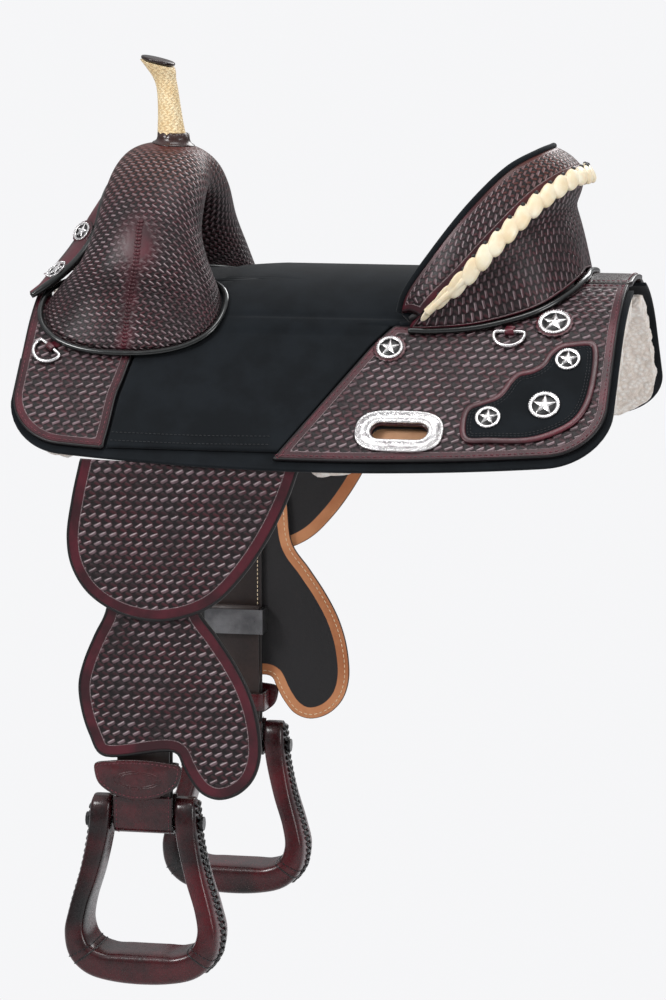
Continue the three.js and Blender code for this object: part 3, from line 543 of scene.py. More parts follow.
def tooled_leather(name, border=BORDER, warm=0.0, groove=True, black_edge=2.2 * MM, grey=0.8):
    """Burgundy leather with a basket stamp inside a smooth border. grey is how pale the rising bars
    are painted at most, partly as rubbed wear and partly as a painted highlight, and warm is how
    brown it gets high up."""
    n = Nodes(name)
    relief, rising, upper_edge_highlight = basket(n)
    pores = n.noise(420.0, 4.0, 0.65)
    dark = n.mix(n.noise(11.0), srgb(7, 3, 4), srgb(22, 5, 9))
    body = n.mottled(n.noise(38.0), 0.3, 0.7, srgb(38, 19, 24), srgb(68, 19, 29))
    if warm:
        high_up = n.remap(n.parts(n.place())[2], *WARM_FROM, 0.0, warm)
        body = n.mix(high_up, body, srgb(98, 44, 28))
    woven = n.mottled(relief, 0.12, 0.8, dark, body)
    # The rising bars are painted pale in patches: partly rubbed wear, partly painted highlight.
    rub_and_sheen = n.remap(n.noise(30.0, 4.0, 0.6), 0.38, 0.64, 0.1, grey)
    woven = n.mix(n.remap(rising, 0.3, 0.95) * rub_and_sheen, woven, srgb(122, 102, 108))
    # Painted highlight: the pale stripe along the upper edge of the rising bars.
    woven = n.mix(upper_edge_highlight * n.remap(n.noise(22.0, 2.0), 0.3, 0.66, 0.1, 0.8), woven, srgb(176, 160, 163))
    smooth = n.mottled(n.noise(28.0), 0.35, 0.7, srgb(50, 11, 20), srgb(86, 22, 36))
    smooth = n.mix(pores * 0.35, smooth, srgb(40, 10, 18))
    if warm:
        smooth = n.mix(high_up * 0.8, smooth, srgb(86, 42, 30))
    edge = n.attribute("edge")
    inside = n.remap(edge, border - 0.5 * MM, border + 0.7 * MM) * (1.0 - n.attribute("plain"))
    colour = n.mix(inside, smooth, woven)
    cuts = inner_line = n.remap(abs(edge - (border + 0.3 * MM)), 0.1 * MM, 0.8 * MM, 1.0, 0.0)
    # Painted highlight along the cut line inside the border.
    colour = n.mix(inner_line * (n.remap(n.noise(700.0, 2.0), 0.4, 0.62) * 0.4 + 0.25), colour, CUT_HIGHLIGHT)
    if groove:
        cuts = inner_line.math("MAXIMUM", n.remap(abs(edge - black_edge), 0.0, 0.6 * MM, 1.0, 0.0))
    colour = n.mix(n.remap(edge, black_edge - 0.5 * MM, black_edge + 0.3 * MM, 1.0, 0.0), colour,
                   srgb(15, 12, 14))
    normal = n.bump(relief * inside - cuts * 0.5 + pores * 0.06, 1.5 * MM)
    normal = n.bump(n.noise(1400.0), 0.03 * MM, 0.5, Normal=normal)
    rough = n.mix(rising, (0.55, 0.55, 0.55), (0.32, 0.32, 0.32))
    rough = n.mix(inside, (0.36, 0.36, 0.36), rough)
    rough = n.mix(pores * 0.3, rough, (0.5, 0.5, 0.5))
    return n.finish(Base_Color=colour, Roughness=rough, Normal=normal, Specular_IOR_Level=0.35,
                    Coat_Weight=0.1, Coat_Roughness=0.25)


def smooth_leather(name, low, high, roughness=0.35, coat=0.2, edge_dark=True, depth=0.18):
    n = Nodes(name)
    pores, wrinkles = n.cells(832.0), n.noise(260.0, 5.0, 0.65)
    colour = n.mottled(n.noise(14.0, 4.0), 0.3, 0.72, low, high)
    colour = n.mix(n.remap(wrinkles, 0.35, 0.75) * 0.4, colour, low)
    if edge_dark:
        colour = n.mix(n.remap(n.attribute("edge"), 0.0, 1.4 * MM, 0.85, 0.0), colour, srgb(12, 9, 10))
    rough = n.remap(wrinkles, 0.3, 0.75, roughness - 0.06, roughness + 0.12)
    return n.finish(Base_Color=colour, Roughness=rough,
                    Normal=n.bump(wrinkles * 0.7 + pores * 0.5, depth * MM, 0.7),
                    Coat_Weight=coat, Coat_Roughness=0.22)


def lined_back(name):
    """The flesh side of a fender: tan leather round a black lining."""
    n = Nodes(name)
    wrinkles, edge = n.noise(260.0, 5.0, 0.65), n.attribute("edge")
    tan = n.mottled(n.noise(14.0, 4.0), 0.3, 0.7, srgb(176, 108, 66), srgb(206, 142, 98))
    black = n.mix(wrinkles, srgb(14, 14, 16), srgb(34, 32, 34))
    inside = n.remap(edge, 13.5 * MM, 14.3 * MM)
    colour = n.mix(inside, tan, black)
    colour = n.mix(n.remap(edge, 0.2 * MM, 1.4 * MM, 1.0, 0.0), colour, srgb(60, 30, 20))
    return n.finish(Base_Color=colour, Roughness=n.remap(wrinkles, 0.3, 0.7, 0.48, 0.66),
                    Normal=n.bump(inside * 1.5 + wrinkles, 0.3 * MM, 0.6))


def suede(name, low, high):
    n = Nodes(name)
    nap, brushed = n.noise(1900.0, 4.0, 0.7), n.noise(24.0, 4.0, 0.6)
    colour = n.mottled(brushed, 0.34, 0.68, low, high)
    colour = n.mix(nap * 0.3, colour, tuple(c * 1.7 for c in high))
    return n.finish(Base_Color=colour, Roughness=n.remap(nap, 0.2, 0.8, 0.86, 0.98),
                    Normal=n.bump(nap + brushed * 0.6, 0.22 * MM, 0.65),
                    Sheen_Weight=0.08, Sheen_Roughness=0.5, Specular_IOR_Level=0.12)


def rawhide_material(name):
    n = Nodes(name)
    fibres = n.noise(480.0, 5.0, 0.7)
    colour = n.mottled(n.noise(60.0, 4.0), 0.3, 0.75, srgb(238, 214, 176), srgb(250, 238, 212))
    colour = n.mix(n.remap(fibres, 0.58, 0.8, 0.0, 0.5), colour, srgb(190, 146, 92))
    return n.finish(Base_Color=colour, Roughness=n.remap(fibres, 0.3, 0.7, 0.34, 0.55),
                    Normal=n.bump(fibres, 0.16 * MM, 0.6), Subsurface_Weight=0.08, Coat_Weight=0.15,
                    Coat_Roughness=0.3)


def wrapped_rawhide(name):
    """Rawhide laid on in narrow overlapping strips."""
    n = Nodes(name)
    relief, fibres = basket(n)[0], n.noise(480.0, 5.0, 0.7)
    colour = n.mottled(n.noise(60.0, 4.0), 0.3, 0.75, srgb(238, 208, 156), srgb(250, 230, 188))
    colour = n.mix(n.remap(relief, 0.0, 0.4, 0.45, 0.0), colour, srgb(196, 150, 92))
    return n.finish(Base_Color=colour, Roughness=n.remap(fibres, 0.3, 0.7, 0.36, 0.55),
                    Normal=n.bump(relief + fibres * 0.3, 0.7 * MM, 0.8), Coat_Weight=0.1,
                    Coat_Roughness=0.3)


def fleece_material(name):
    n = Nodes(name)
    curls, tufts, fuzz = n.cells(170.0), n.noise(70.0, 5.0, 0.7), n.noise(900.0)
    colour = n.mottled(curls, 0.1, 0.75, srgb(252, 248, 242), srgb(232, 220, 208))
    colour = n.mix(n.remap(tufts, 0.35, 0.75, 0.0, 0.45), colour, srgb(244, 228, 216))
    return n.finish(Base_Color=colour, Roughness=n.remap(tufts, 0.2, 0.8, 0.88, 1.0),
                    Normal=n.bump(curls * -1.0 + (tufts + fuzz * 0.4), 2.4 * MM, 0.9),
                    Sheen_Weight=0.5, Sheen_Roughness=0.4)


def silver_material(name, engraved=True):
    n = Nodes(name)
    height = scratch = n.noise(900.0, 3.0, 0.6)
    colour = n.mottled(n.noise(55.0, 5.0, 0.65), 0.42, 0.72, srgb(240, 238, 238), srgb(176, 172, 172))
    if engraved:
        lines = abs((n.cells(260.0, "SMOOTH_F1") * 26.0).math("SINE"))
        colour = n.mix(n.remap(lines, 0.0, 0.35, 0.5, 0.0), colour, srgb(110, 96, 96))
        height = lines + scratch * 0.2
    return n.finish(Base_Color=colour, Metallic=1.0, Roughness=n.remap(scratch, 0.3, 0.7, 0.16, 0.32),
                    Normal=n.bump(height, 0.16 * MM, 0.6))


def grained(name, grain, blotches, colours, rough, bump, **more):
    """A plain finish: blotches of two colours, and one grain for roughness and relief."""
    n = Nodes(name)
    wave = n.noise(*grain)
    patches = n.noise(*blotches[0]) if blotches[0] else wave
    return n.finish(Base_Color=n.mottled(patches, *blotches[1], *colours),
                    Roughness=n.remap(wave, 0.3, 0.7, *rough), Normal=n.bump(wave, bump[0] * MM, bump[1]),
                    **more)


def thread_material(name, colour, tip):
    return grained(name, (2400.0, 2.0), (None, (0.35, 0.65)), (colour, tip), (0.45, 0.7), (0.08, 0.6))


TOOLED = tooled_leather("tooled_leather")
TOOLED_WIDE = tooled_leather("tooled_leather_wide_border", border=13.5 * MM, black_edge=3.2 * MM)
TOOLED_WARM = tooled_leather("tooled_leather_warm", border=1.2 * MM, warm=0.85, groove=False,
                             black_edge=0.3 * MM, grey=0.5)
CANTLE_TOOLED = tooled_leather("cantle_tooled_leather", border=7.5 * MM, warm=0.85, black_edge=1.2 * MM,
                               grey=0.5)
BACK_TOOLED = tooled_leather("cantle_back_tooled_leather", border=2.5 * MM, groove=False,
                             black_edge=0.5 * MM, grey=0.55)
BURGUNDY = smooth_leather("burgundy_leather", srgb(54, 11, 20), srgb(92, 24, 38))
OXBLOOD = smooth_leather("oxblood_leather", srgb(9, 3, 4), srgb(84, 12, 22), roughness=0.24, depth=0.07)
BROWN = smooth_leather("brown_leather", srgb(26, 13, 12), srgb(64, 32, 27), roughness=0.25)
STRAP = smooth_leather("strap_leather", srgb(22, 14, 13), srgb(44, 26, 21), roughness=0.5, coat=0.05)
NATURAL = smooth_leather("natural_leather", srgb(196, 142, 104), srgb(224, 180, 142), roughness=0.5, coat=0.0)
LINED = lined_back("lined_leather_back")
LACE = smooth_leather("black_lace", srgb(10, 10, 11), srgb(24, 23, 25), roughness=0.3, edge_dark=False)
SUEDE = suede("black_suede", srgb(12, 15, 18), srgb(20, 24, 28))
PIPING = grained("rolled_edge", (160.0, 4.0, 0.6), (None, (0.35, 0.7)), (srgb(6, 8, 8), srgb(13, 17, 16)),
                 (0.14, 0.26), (0.05, 0.3), Coat_Weight=0.5, Coat_Roughness=0.12)
RAWHIDE = rawhide_material("rawhide")
WRAPPED = wrapped_rawhide("wrapped_rawhide")
FLEECE = fleece_material("fleece")
SILVER = silver_material("engraved_silver")
BRIGHT = silver_material("bright_silver", engraved=False)
STEEL = grained("satin_steel", (600.0, 4.0, 0.7), ((30.0, 4.0), (0.35, 0.7)),
                (srgb(96, 96, 98), srgb(136, 136, 138)), (0.26, 0.46), (0.05, 0.5), Metallic=1.0)
FIBRE = grained("tree_fibre", (700.0, 4.0, 0.8), ((90.0, 5.0, 0.7), (0.35, 0.7)),
                (srgb(28, 27, 29), srgb(56, 53, 54)), (0.55, 0.8), (0.3, 0.5))
DARK_RECESS = smooth_leather("dark_recess", srgb(8, 8, 10), srgb(20, 19, 22), edge_dark=False)
RED_THREAD = thread_material("burgundy_thread", srgb(40, 8, 16), srgb(138, 66, 78))
BLACK_THREAD = thread_material("black_thread", srgb(10, 11, 13), srgb(34, 37, 42))
PALE_THREAD = thread_material("pale_thread", srgb(214, 190, 150), srgb(240, 224, 196))


def dress(obj, material, body="root", replaces=(), also=()):
    """Gives a new piece its finish, its body and the frame nodes that it stands for."""
    obj.data.materials.clear()
    for m in (material, *also):
        obj.data.materials.append(m)
    if replaces:
        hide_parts(*replaces)
    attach(obj, body)
    return obj


def dress_node(node, material):
    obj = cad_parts[node]
    obj.data.materials.clear()
    obj.data.materials.append(material)


# ---- camera, floor and light, in metres and watts ------------------------------------------------
AZIMUTH, ELEVATION, DISTANCE = math.radians(12), math.radians(8.3), 5.0
AIM_AT = Vector((-0.033, 0, -0.21))
LENS, SENSOR = 156.6, 36
BACKDROP = (0.92, 0.922, 0.935)
FLOOR_Z, FLOOR_HALF = -0.86, 30.0
LAMP_AIM = Vector((0, 0, -0.1))
LAMPS = (("key", (-2.2, -2.8, 2.2), 1.1, 80), ("fill", (3.0, -1.6, 0.6), 1.4, 34),
         ("rim", (0.8, 2.8, 1.8), 1.6, 45), ("top", (0.2, -0.6, 3.0), 1.4, 30))


def aim_camera():
    back = Vector((math.sin(AZIMUTH) * math.cos(ELEVATION), -math.cos(AZIMUTH) * math.cos(ELEVATION),
                   math.sin(ELEVATION)))
    data = bpy.data.cameras.new("camera")
    data.lens, data.sensor_width = LENS, SENSOR
    camera = add_object("camera", data)
    camera.location = AIM_AT + back * DISTANCE
    camera.rotation_euler = (-back).to_track_quat("-Z", "Y").to_euler()
    bpy.context.scene.camera = camera


def seen_white(tree, surface, output, kind):
    """Shows a plain pale colour to the camera and keeps the dimmer surface for all other light."""
    plain = tree.nodes.new(kind)
    plain.inputs[0].default_value = (*BACKDROP, 1)
    path = tree.nodes.new("ShaderNodeLightPath")
    mix = tree.nodes.new("ShaderNodeMixShader")
    tree.links.new(path.outputs["Is Camera Ray"], mix.inputs[0])
    tree.links.new(surface, mix.inputs[1])
    tree.links.new(plain.outputs[0], mix.inputs[2])
    tree.links.new(mix.outputs[0], tree.nodes[output].inputs["Surface"])


def lay_floor():
    mesh = bpy.data.meshes.new("floor")
    corners = [(x * FLOOR_HALF, y * FLOOR_HALF, FLOOR_Z) for x, y in ((-1, -1), (1, -1), (1, 1), (-1, 1))]
    mesh.from_pydata(corners, [], [(0, 1, 2, 3)])
    floor = add_object("floor", mesh)
    n = Nodes("floor")
    colour = n.mix(n.noise(1.5, 2.0), (0.58, 0.58, 0.59), (0.62, 0.62, 0.63))
    mesh.materials.append(n.finish(Base_Color=colour, Roughness=0.9))
    seen_white(n.tree, n.bsdf.outputs[0], "Material Output", "ShaderNodeEmission")


def light_up():
    """A pale room that is brightest overhead, and four soft lamps."""
    bpy.context.scene.view_settings.view_transform = "Standard"
    world = bpy.data.worlds.new("studio")
    world.use_nodes = True
    tree = world.node_tree
    background = tree.nodes["Background"]
    split = tree.nodes.new("ShaderNodeSeparateXYZ")
    tree.links.new(tree.nodes.new("ShaderNodeTexCoord").outputs["Generated"], split.inputs[0])
    height = tree.nodes.new("ShaderNodeMapRange")
    for key, value in (("From Min", -0.15), ("From Max", 0.95), ("To Min", 0.08), ("To Max", 0.85)):
        height.inputs[key].default_value = value
    tree.links.new(split.outputs[2], height.inputs["Value"])
    background.inputs[0].default_value = (0.97, 0.98, 1.0, 1)
    tree.links.new(height.outputs[0], background.inputs[1])
    seen_white(tree, background.outputs[0], "World Output", "ShaderNodeBackground")
    bpy.context.scene.world = world
    for name, place, size, power in LAMPS:
        data = bpy.data.lights.new(name, "AREA")
        data.size, data.energy = size, power
        lamp = add_object(name, data)
        lamp.location = place
        lamp.rotation_euler = (LAMP_AIM - Vector(place)).to_track_quat("-Z", "Y").to_euler()


# ---- outlines on the drape: x and length from the centre line, in mm ------------------------------
def skirt_edge(x):
    return SKIRT_LENGTH - 16 * ((x + 10) / 290) ** 2


def corner(x, start, radius):
    into = np.clip(np.abs(x - start), 0, radius)
    return radius - np.sqrt(np.maximum(radius * radius - into * into, 0))


def rounded_edge(x, front, rear, radius, lift):
    drop = np.where(x < front + radius, corner(x, front + radius, radius), 0)
    drop = drop + np.where(x > rear - radius, corner(x, rear - radius, radius), 0)
    return skirt_edge(x) - lift - drop


def crowded(start, end, count):
    return start + (end - start) * (1 - np.cos(np.linspace(0, math.pi, count))) / 2


def along(points, x):
    p = np.asarray(points, float)
    return np.interp(x, p[:, 0], p[:, 1])


def on_drape(side):
    return lambda x, s, h: drape(x, side * np.asarray(s, float), h)


JOCKEY_FRONT_TOP = [(-355, 46), (-347, 66), (-336, 106), (-318, 127), (-292, 149), (-249, 166), (-226, 170)]
JOCKEY_FRONT_REAR = [(-226, 170), (-227.5, 184), (-232, 217), (-236, 240), (-237.5, 280), (-239.5, 309)]
DIAGONAL = [(-47, 320), (42, 167), (64, 137)]
JOCKEY_REAR_TOP = [(64, 137), (108, 138), (162, 131), (222, 104), (247, 73), (258, 47), (314, 47)]
SKIRT_TOP = [(-358, 190), (60, 190), (90, 160), (250, 150), (263, 50), (320, 50)]
INLAY = [(157, 268), (161, 248), (176, 240), (190, 233), (197, 224), (203, 211), (211, 201), (226, 196),
         (237, 187), (243, 173), (254, 162), (270, 158), (287, 157), (293, 163), (293, 233), (281, 262),
         (259, 279), (233, 289), (190, 291), (163, 290)]
SEAT_FRONT = [(54, -262), (62, -150), (150, -150), (172, -205), (184, -224.5), (217, -229.5), (240, -233),
              (280, -235), (310, -236.5)]
# The seat ends at an ellipse in front of the cantle: its centre x, depth along x and half width in s.
SEAT_BACK = {"x": 61, "depth": 126, "s": 137}
FLEECE_TRIM = [(-290, 0), (-272, 16), (-22, 16), (-4, 0), (20, 0), (60, 15), (316, 15)]


def front_jockey_outline():
    top = spline(JOCKEY_FRONT_TOP, 50)
    rear = spline(JOCKEY_FRONT_REAR, 30)[1:-1]
    xs = crowded(-355, -239.5, 50)[::-1]
    low = rounded_edge(xs, -355, 400, 62, 10) + 2 - ((xs + 300) / 60) ** 2
    return np.vstack([top, rear, np.stack([xs, low], axis=1)])


def rear_jockey_outline():
    xs = crowded(-47, 314, 90)[::-1]
    low = rounded_edge(xs, -400, 314, 60, 10)
    return np.vstack([DIAGONAL, JOCKEY_REAR_TOP[1:], np.stack([xs, low], axis=1)[:-1]])


def slot_outline(grow=0.0):
    straight = SLOT["half_x"] - SLOT["half_s"]
    radius = SLOT["half_s"] + grow
    line = []
    for end in (1, -1):
        for angle in np.linspace(-math.pi / 2, math.pi / 2, 13):
            line.append((SLOT["x"] + end * (straight + radius * math.cos(angle)),
                         SLOT["s"] + end * radius * math.sin(angle)))
    return np.array(line)


def cut_slot(obj, side):
    """Cuts the rigging slot through a piece."""
    line = slot_outline()
    rings = [drape(line[:, 0], side * line[:, 1], h) for h in (-30, 30)]
    cutter = lofted("slot_cutter", rings)
    modifier = obj.modifiers.new("slot", "BOOLEAN")
    modifier.object, modifier.operation, modifier.solver = cutter, "DIFFERENCE", "EXACT"
    bpy.context.view_layer.objects.active = obj
    bpy.ops.object.select_all(action="DESELECT")
    obj.select_set(True)
    bpy.ops.object.modifier_apply(modifier="slot")
    bpy.data.objects.remove(cutter)


def stitched(name, outline, centre, surface, height, inset, body="root", material=RED_THREAD,
             spacing=6.4, length=4.4, radius=0.55):
    """Stitches all round a piece, inset from its outline."""
    path, up = surface_path(surface, inset_line(outline, centre, inset), height)
    dress(stitch_row(name, path, up, spacing, length, radius, closed=True), material, body)


def stitch_line(name, surface, line, height, body, material, spacing, length, radius):
    path, up = surface_path(surface, resample(line, 2.0), height)
    dress(stitch_row(name, path, up, spacing, length, radius), material, body)


# ---- skirts, jockeys, inlays, fleece --------------------------------------------------------------
EDGE_STEPS = (0.0, 0.5, 1.6, 4.0, 8.0)


def spaced(low, high, step, from_ends=EDGE_STEPS):
    """Stations from low to high, with extra ones close to both ends."""
    inner = np.linspace(low + from_ends[-1], high - from_ends[-1], max(int((high - low) / step), 3))
    return np.concatenate([low + np.array(from_ends[:-1]), inner, (high - np.array(from_ends[:-1]))[::-1]])


def column_sheet(name, xs, top, bottom, surface, low, high, rows=30, rounding=1.3):
    """A layer whose upper and lower edges are given over x."""
    share = np.concatenate([[0, 0.004, 0.014], np.linspace(0.03, 0.97, rows), [0.986, 0.996, 1]])
    top_s, low_s = top(xs), bottom(xs)
    s = top_s[None, :] + (low_s - top_s)[None, :] * share[:, None]
    flat = np.stack([np.broadcast_to(xs, s.shape), s], axis=-1)
    return sheet_grid(name, flat, surface, low, high, rounding)


def smooth_noise(points, scale, seed=0.0):
    return np.array([noise.noise(Vector((*(p[:2] * scale), p[2] * scale + seed))) for p in points])


def roughen(obj, amount, scale):
    """Moves each point along its normal by two layers of smooth noise, amount in mm."""
    mesh = obj.data
    count = len(mesh.vertices)
    points = np.empty(count * 3)
    mesh.vertices.foreach_get("co", points)
    points = points.reshape(-1, 3)
    normals = np.array([v.normal[:] for v in mesh.vertices])
    wave = smooth_noise(points, scale) + 0.5 * smooth_noise(points, scale * 2.7, 9)
    points = points + normals * (wave * amount * MM)[:, None]
    mesh.vertices.foreach_set("co", points.ravel())
    mesh.update()


def flat_ring(name, line, half, surface, low, high):
    """A flat rounded strip that runs round a closed line on a surface."""
    normal = line_normal(line)
    rings, edge = [], []
    for share, h in ((-1, 0), (-1, 0.55), (-0.85, 0.85), (-0.55, 1),
                     (0.55, 1), (0.85, 0.85), (1, 0.55), (1, 0)):
        at = line + normal * share * half
        rings.append(surface(at[:, 0], at[:, 1], low + (high - low) * h))
        edge.append(np.full(len(line), half * (1.3 - abs(share))))
    dress(lofted(name, rings, looped=True, edge=edge), BURGUNDY)


# Place x and s, radius, radius of the rosette below it, and the height that it lies at.
INLAY_FACE = 9.3
CONCHOS = ((64, 170, 15.0, 19.0, JOCKEY_TOP), (243, 130, 18.0, 22.0, JOCKEY_TOP),
           (264, 181, 14.0, 0, INLAY_FACE), (245, 243, 17.5, 0, INLAY_FACE),
           (185, 261, 14.0, 0, INLAY_FACE))


def level_edges(values, count):
    """Edge distances of a loft whose rings each lie at one distance from the edge."""
    return np.repeat(np.array(values, float)[:, None], count, axis=1)


# Share of the radius and height in mm of each ring of the rosette, the silver ring and the star.
ROSETTE = ((1.0, 0.1), (1.0, 1.1), (0.97, 1.7), (0.90, 1.9), (0.4, 1.9))
RING = ((1.0, 0.1), (1.0, 1.2), (0.98, 1.9), (0.93, 2.2), (0.84, 2.2), (0.78, 2.0), (0.75, 1.6), (0.75, 0.4))
STAR = ((1.0, 0.8), (1.0, 1.8), (0.93, 2.3), (0.5, 2.8), (0.15, 3.1))
STAR_ARM, STAR_FOLD, STAR_REACH = math.radians(36), 0.40, 0.80
CONCHO_SIDES, ROPE_TURNS = 80, 36


def star_concho(name, frame_at, radius, petals=0):
    """A silver ring with a rope rim and a five-pointed star over a dark recess, on a scalloped
    rosette where petals gives its radius."""
    turn = full_turn(CONCHO_SIDES)
    lift = 0.0
    if petals:
        rings = []
        for share, h in ROSETTE:
            reach = petals * share * (1 - 0.09 * (1 - np.abs(np.cos(turn * 9))))
            rings.append(frame_at(reach * np.cos(turn), reach * np.sin(turn), h))
        rosette = lofted(name + "_rosette", rings, edge=level_edges((0, 0, 0.5, 2, 9), CONCHO_SIDES))
        dress(rosette, BURGUNDY)
        lift = ROSETTE[-1][1]

    def circle(share, h):
        return frame_at(radius * share * np.cos(turn), radius * share * np.sin(turn), lift + h)
    ground = lofted(name + "_ground", [circle(0.9, 0.1), circle(0.9, 0.9), circle(0.3, 1.0)])
    dress(ground, DARK_RECESS)
    dress(lofted(name, [circle(*row) for row in RING], looped=True), BRIGHT)
    up = math.pi / 2 if frame_at(0.0, 1.0, 0.0)[2] > frame_at(0.0, 0.0, 0.0)[2] else -math.pi / 2
    off = np.abs((turn + STAR_ARM) % (2 * STAR_ARM) - STAR_ARM)
    waist = STAR_FOLD * math.sin(STAR_ARM)
    reach = waist / (waist * np.cos(off) + (1 - STAR_FOLD * math.cos(STAR_ARM)) * np.sin(off))
    star = []
    for share, h in STAR:
        out = radius * STAR_REACH * share * reach
        star.append(frame_at(out * np.cos(turn + up), out * np.sin(turn + up), lift + h))
    dress(lofted(name + "_star", star), BRIGHT)
    out = radius * 0.95
    rope = [bead(frame_at, out * math.cos(angle), out * math.sin(angle), lift + 1.9, radius * 0.07)
            for angle in full_turn(ROPE_TURNS)]
    dress(make_mesh(name + "_rim", *merge_beads(rope)), BRIGHT)


def bead(frame_at, u, v, h, radius):
    """Points and faces of a small ball on a surface."""
    centre = frame_at(np.array([u]), np.array([v]), h)[0]
    points, faces = [centre + (0, 0, radius)], []
    for i in range(1, 4):
        polar = math.pi * i / 4
        for j in range(6):
            angle = math.pi * j / 3
            points.append(centre + radius * np.array([math.sin(polar) * math.cos(angle),
                                                      math.sin(polar) * math.sin(angle), math.cos(polar)]))
    points.append(centre - (0, 0, radius))
    for j in range(6):
        k = (j + 1) % 6
        faces.append((0, 1 + j, 1 + k))
        faces.append((1 + j, 7 + j, 7 + k, 1 + k))
        faces.append((7 + j, 13 + j, 13 + k, 7 + k))
        faces.append((13 + j, 19, 13 + k))
    return points, faces


def merge_beads(parts):
    points, faces = [], []
    for part_points, part_faces in parts:
        base = len(points)
        points.extend(part_points)
        faces.extend(tuple(base + i for i in f) for f in part_faces)
    return np.array(points), faces


def patch(origin, along_u, along_v, up):
    """A flat patch: u and v run over it, h stands out from it."""
    def at(u, v, h):
        u, v, h = together(u, v, h)
        return origin + u[..., None] * along_u + v[..., None] * along_v + h[..., None] * up
    return at


def local_frame(surface, x, s, height):
    origin = surface(x, s, height)
    along_u = unit(surface(x + 1, s, height) - origin)
    up = unit(surface(x, s, height + 1) - origin)
    return patch(origin, along_u, np.cross(up, along_u), up)


def make_side(prefix, side):
    place = on_drape(side)
    front_line, front_centre = front_jockey_outline(), (-305, 225)
    rear_line, rear_centre = rear_jockey_outline(), (200, 230)
    inlay_line, inlay_centre = spline(INLAY, 160, closed=True), (237, 232)

    xs = spaced(SKIRT_FRONT, SKIRT_REAR, 6)
    skirt = column_sheet(f"{prefix}_skirt_suede", xs, lambda x: along(SKIRT_TOP, x),
                         lambda x: rounded_edge(x, SKIRT_FRONT, SKIRT_REAR, 66, 0), place, -4, 0)
    cut_slot(skirt, side)
    dress(skirt, SUEDE, replaces=[f"{prefix}_skirt"])

    def fleece_low(x):
        return rounded_edge(x, SKIRT_FRONT + 6, SKIRT_REAR - 4, 62, 14) - along(FLEECE_TRIM, x)
    xs = spaced(-352, 316, 5)
    fleece = column_sheet(f"{prefix}_fleece_pile", xs, lambda x: np.full_like(x, 36.0), fleece_low, place,
                          -33, -16, rows=60, rounding=4)
    roughen(fleece, 2.6, 75)
    dress(fleece, FLEECE, replaces=[f"{prefix}_fleece"])

    front = panel(f"{prefix}_front_jockey_leather", front_line, front_centre, place, 0.8, JOCKEY_TOP)
    dress(front, TOOLED, replaces=[f"{prefix}_front_jockey"])
    stitched(f"{prefix}_front_jockey_thread", front_line, front_centre, place, JOCKEY_TOP, 5.4)

    rear = panel(f"{prefix}_rear_jockey_leather", rear_line, rear_centre, place, 0.8, JOCKEY_TOP, rings=24)
    cut_slot(rear, side)
    dress(rear, TOOLED, replaces=[f"{prefix}_rear_jockey"])
    stitched(f"{prefix}_rear_jockey_thread", rear_line, rear_centre, place, JOCKEY_TOP, 5.4)

    inlay = panel(f"{prefix}_inlay_suede", inlay_line, inlay_centre, place, 7.1, 8.6, step=3, crown=0.8)
    dress(inlay, SUEDE, replaces=[f"{prefix}_suede_inlay"])
    rim_line = inset_line(inlay_line, inlay_centre, 1.2, 2.5)
    flat_ring(f"{prefix}_inlay_rim", rim_line, 3.3, place, 7.2, 9.9)
    for number, inset in ((1, 6.8), (2, 9.8)):
        stitched(f"{prefix}_inlay_thread_{number}", inlay_line, inlay_centre, place, 9.0, inset,
                 material=BLACK_THREAD, spacing=4.2, length=2.8, radius=0.6)

    for number, (x, s, radius, petals, height) in enumerate(CONCHOS, 1):
        star_concho(f"{prefix}_concho_{number}", local_frame(place, x, s, height), radius, petals)


PLATE_HALF = (49, 27)


def rigging_plate(prefix, side):
    place = on_drape(side)
    turn = full_turn(120)
    u, v = squared(turn, 0.55, 0.8)

    def ring(grow, h):
        return place(SLOT["x"] + (PLATE_HALF[0] + grow) * u, SLOT["s"] + (PLATE_HALF[1] + grow) * v, h)
    half = SLOT["half_x"] - SLOT["half_s"]

    def hole_ring(grow, h):
        radius = SLOT["half_s"] + grow
        p = np.stack(squared(turn, 0.5, 0.5), axis=1) * (half + radius, radius)
        flat_part = np.clip(p[:, 0], -half, half)
        out = unit(np.stack([p[:, 0] - flat_part, p[:, 1]], axis=1)) * radius
        return place(SLOT["x"] + flat_part + out[:, 0], SLOT["s"] + out[:, 1], h)
    rings = [ring(0, 7.0), ring(0, 8.6), ring(-0.5, 9.5), ring(-1.4, 9.7), ring(-4.6, 9.7), ring(-5.0, 9.0),
             hole_ring(5.2, 9.0), hole_ring(4.6, 9.7), hole_ring(2.4, 10.2), hole_ring(0.9, 9.8),
             hole_ring(0.0, 8.8), hole_ring(0.0, 7.0)]
    plate = lofted(f"{prefix}_rigging_plate_silver", rings, looped=True)
    dress(plate, SILVER, replaces=[f"{prefix}_rigging_plate"])
    path = resample(np.stack([SLOT["x"] + 46.0 * u, SLOT["s"] + 24.0 * v], axis=1), 2.6, closed=True)
    beads = [bead(place, *q, 9.9, 1.25) for q in path]
    dress(make_mesh(f"{prefix}_rigging_plate_beads", *merge_beads(beads)), BRIGHT)
    lining = panel(f"{prefix}_rigging_leather", slot_outline(9), (SLOT["x"], SLOT["s"]), place, -12.5, -7.5,
                   step=3)
    dress(lining, NATURAL)
    edge_path, _ = surface_path(place, resample(slot_outline(0.2), 3, True), 4.6)
    dress(tube(f"{prefix}_slot_edge", edge_path, 1.7, 8, closed=True), OXBLOOD)


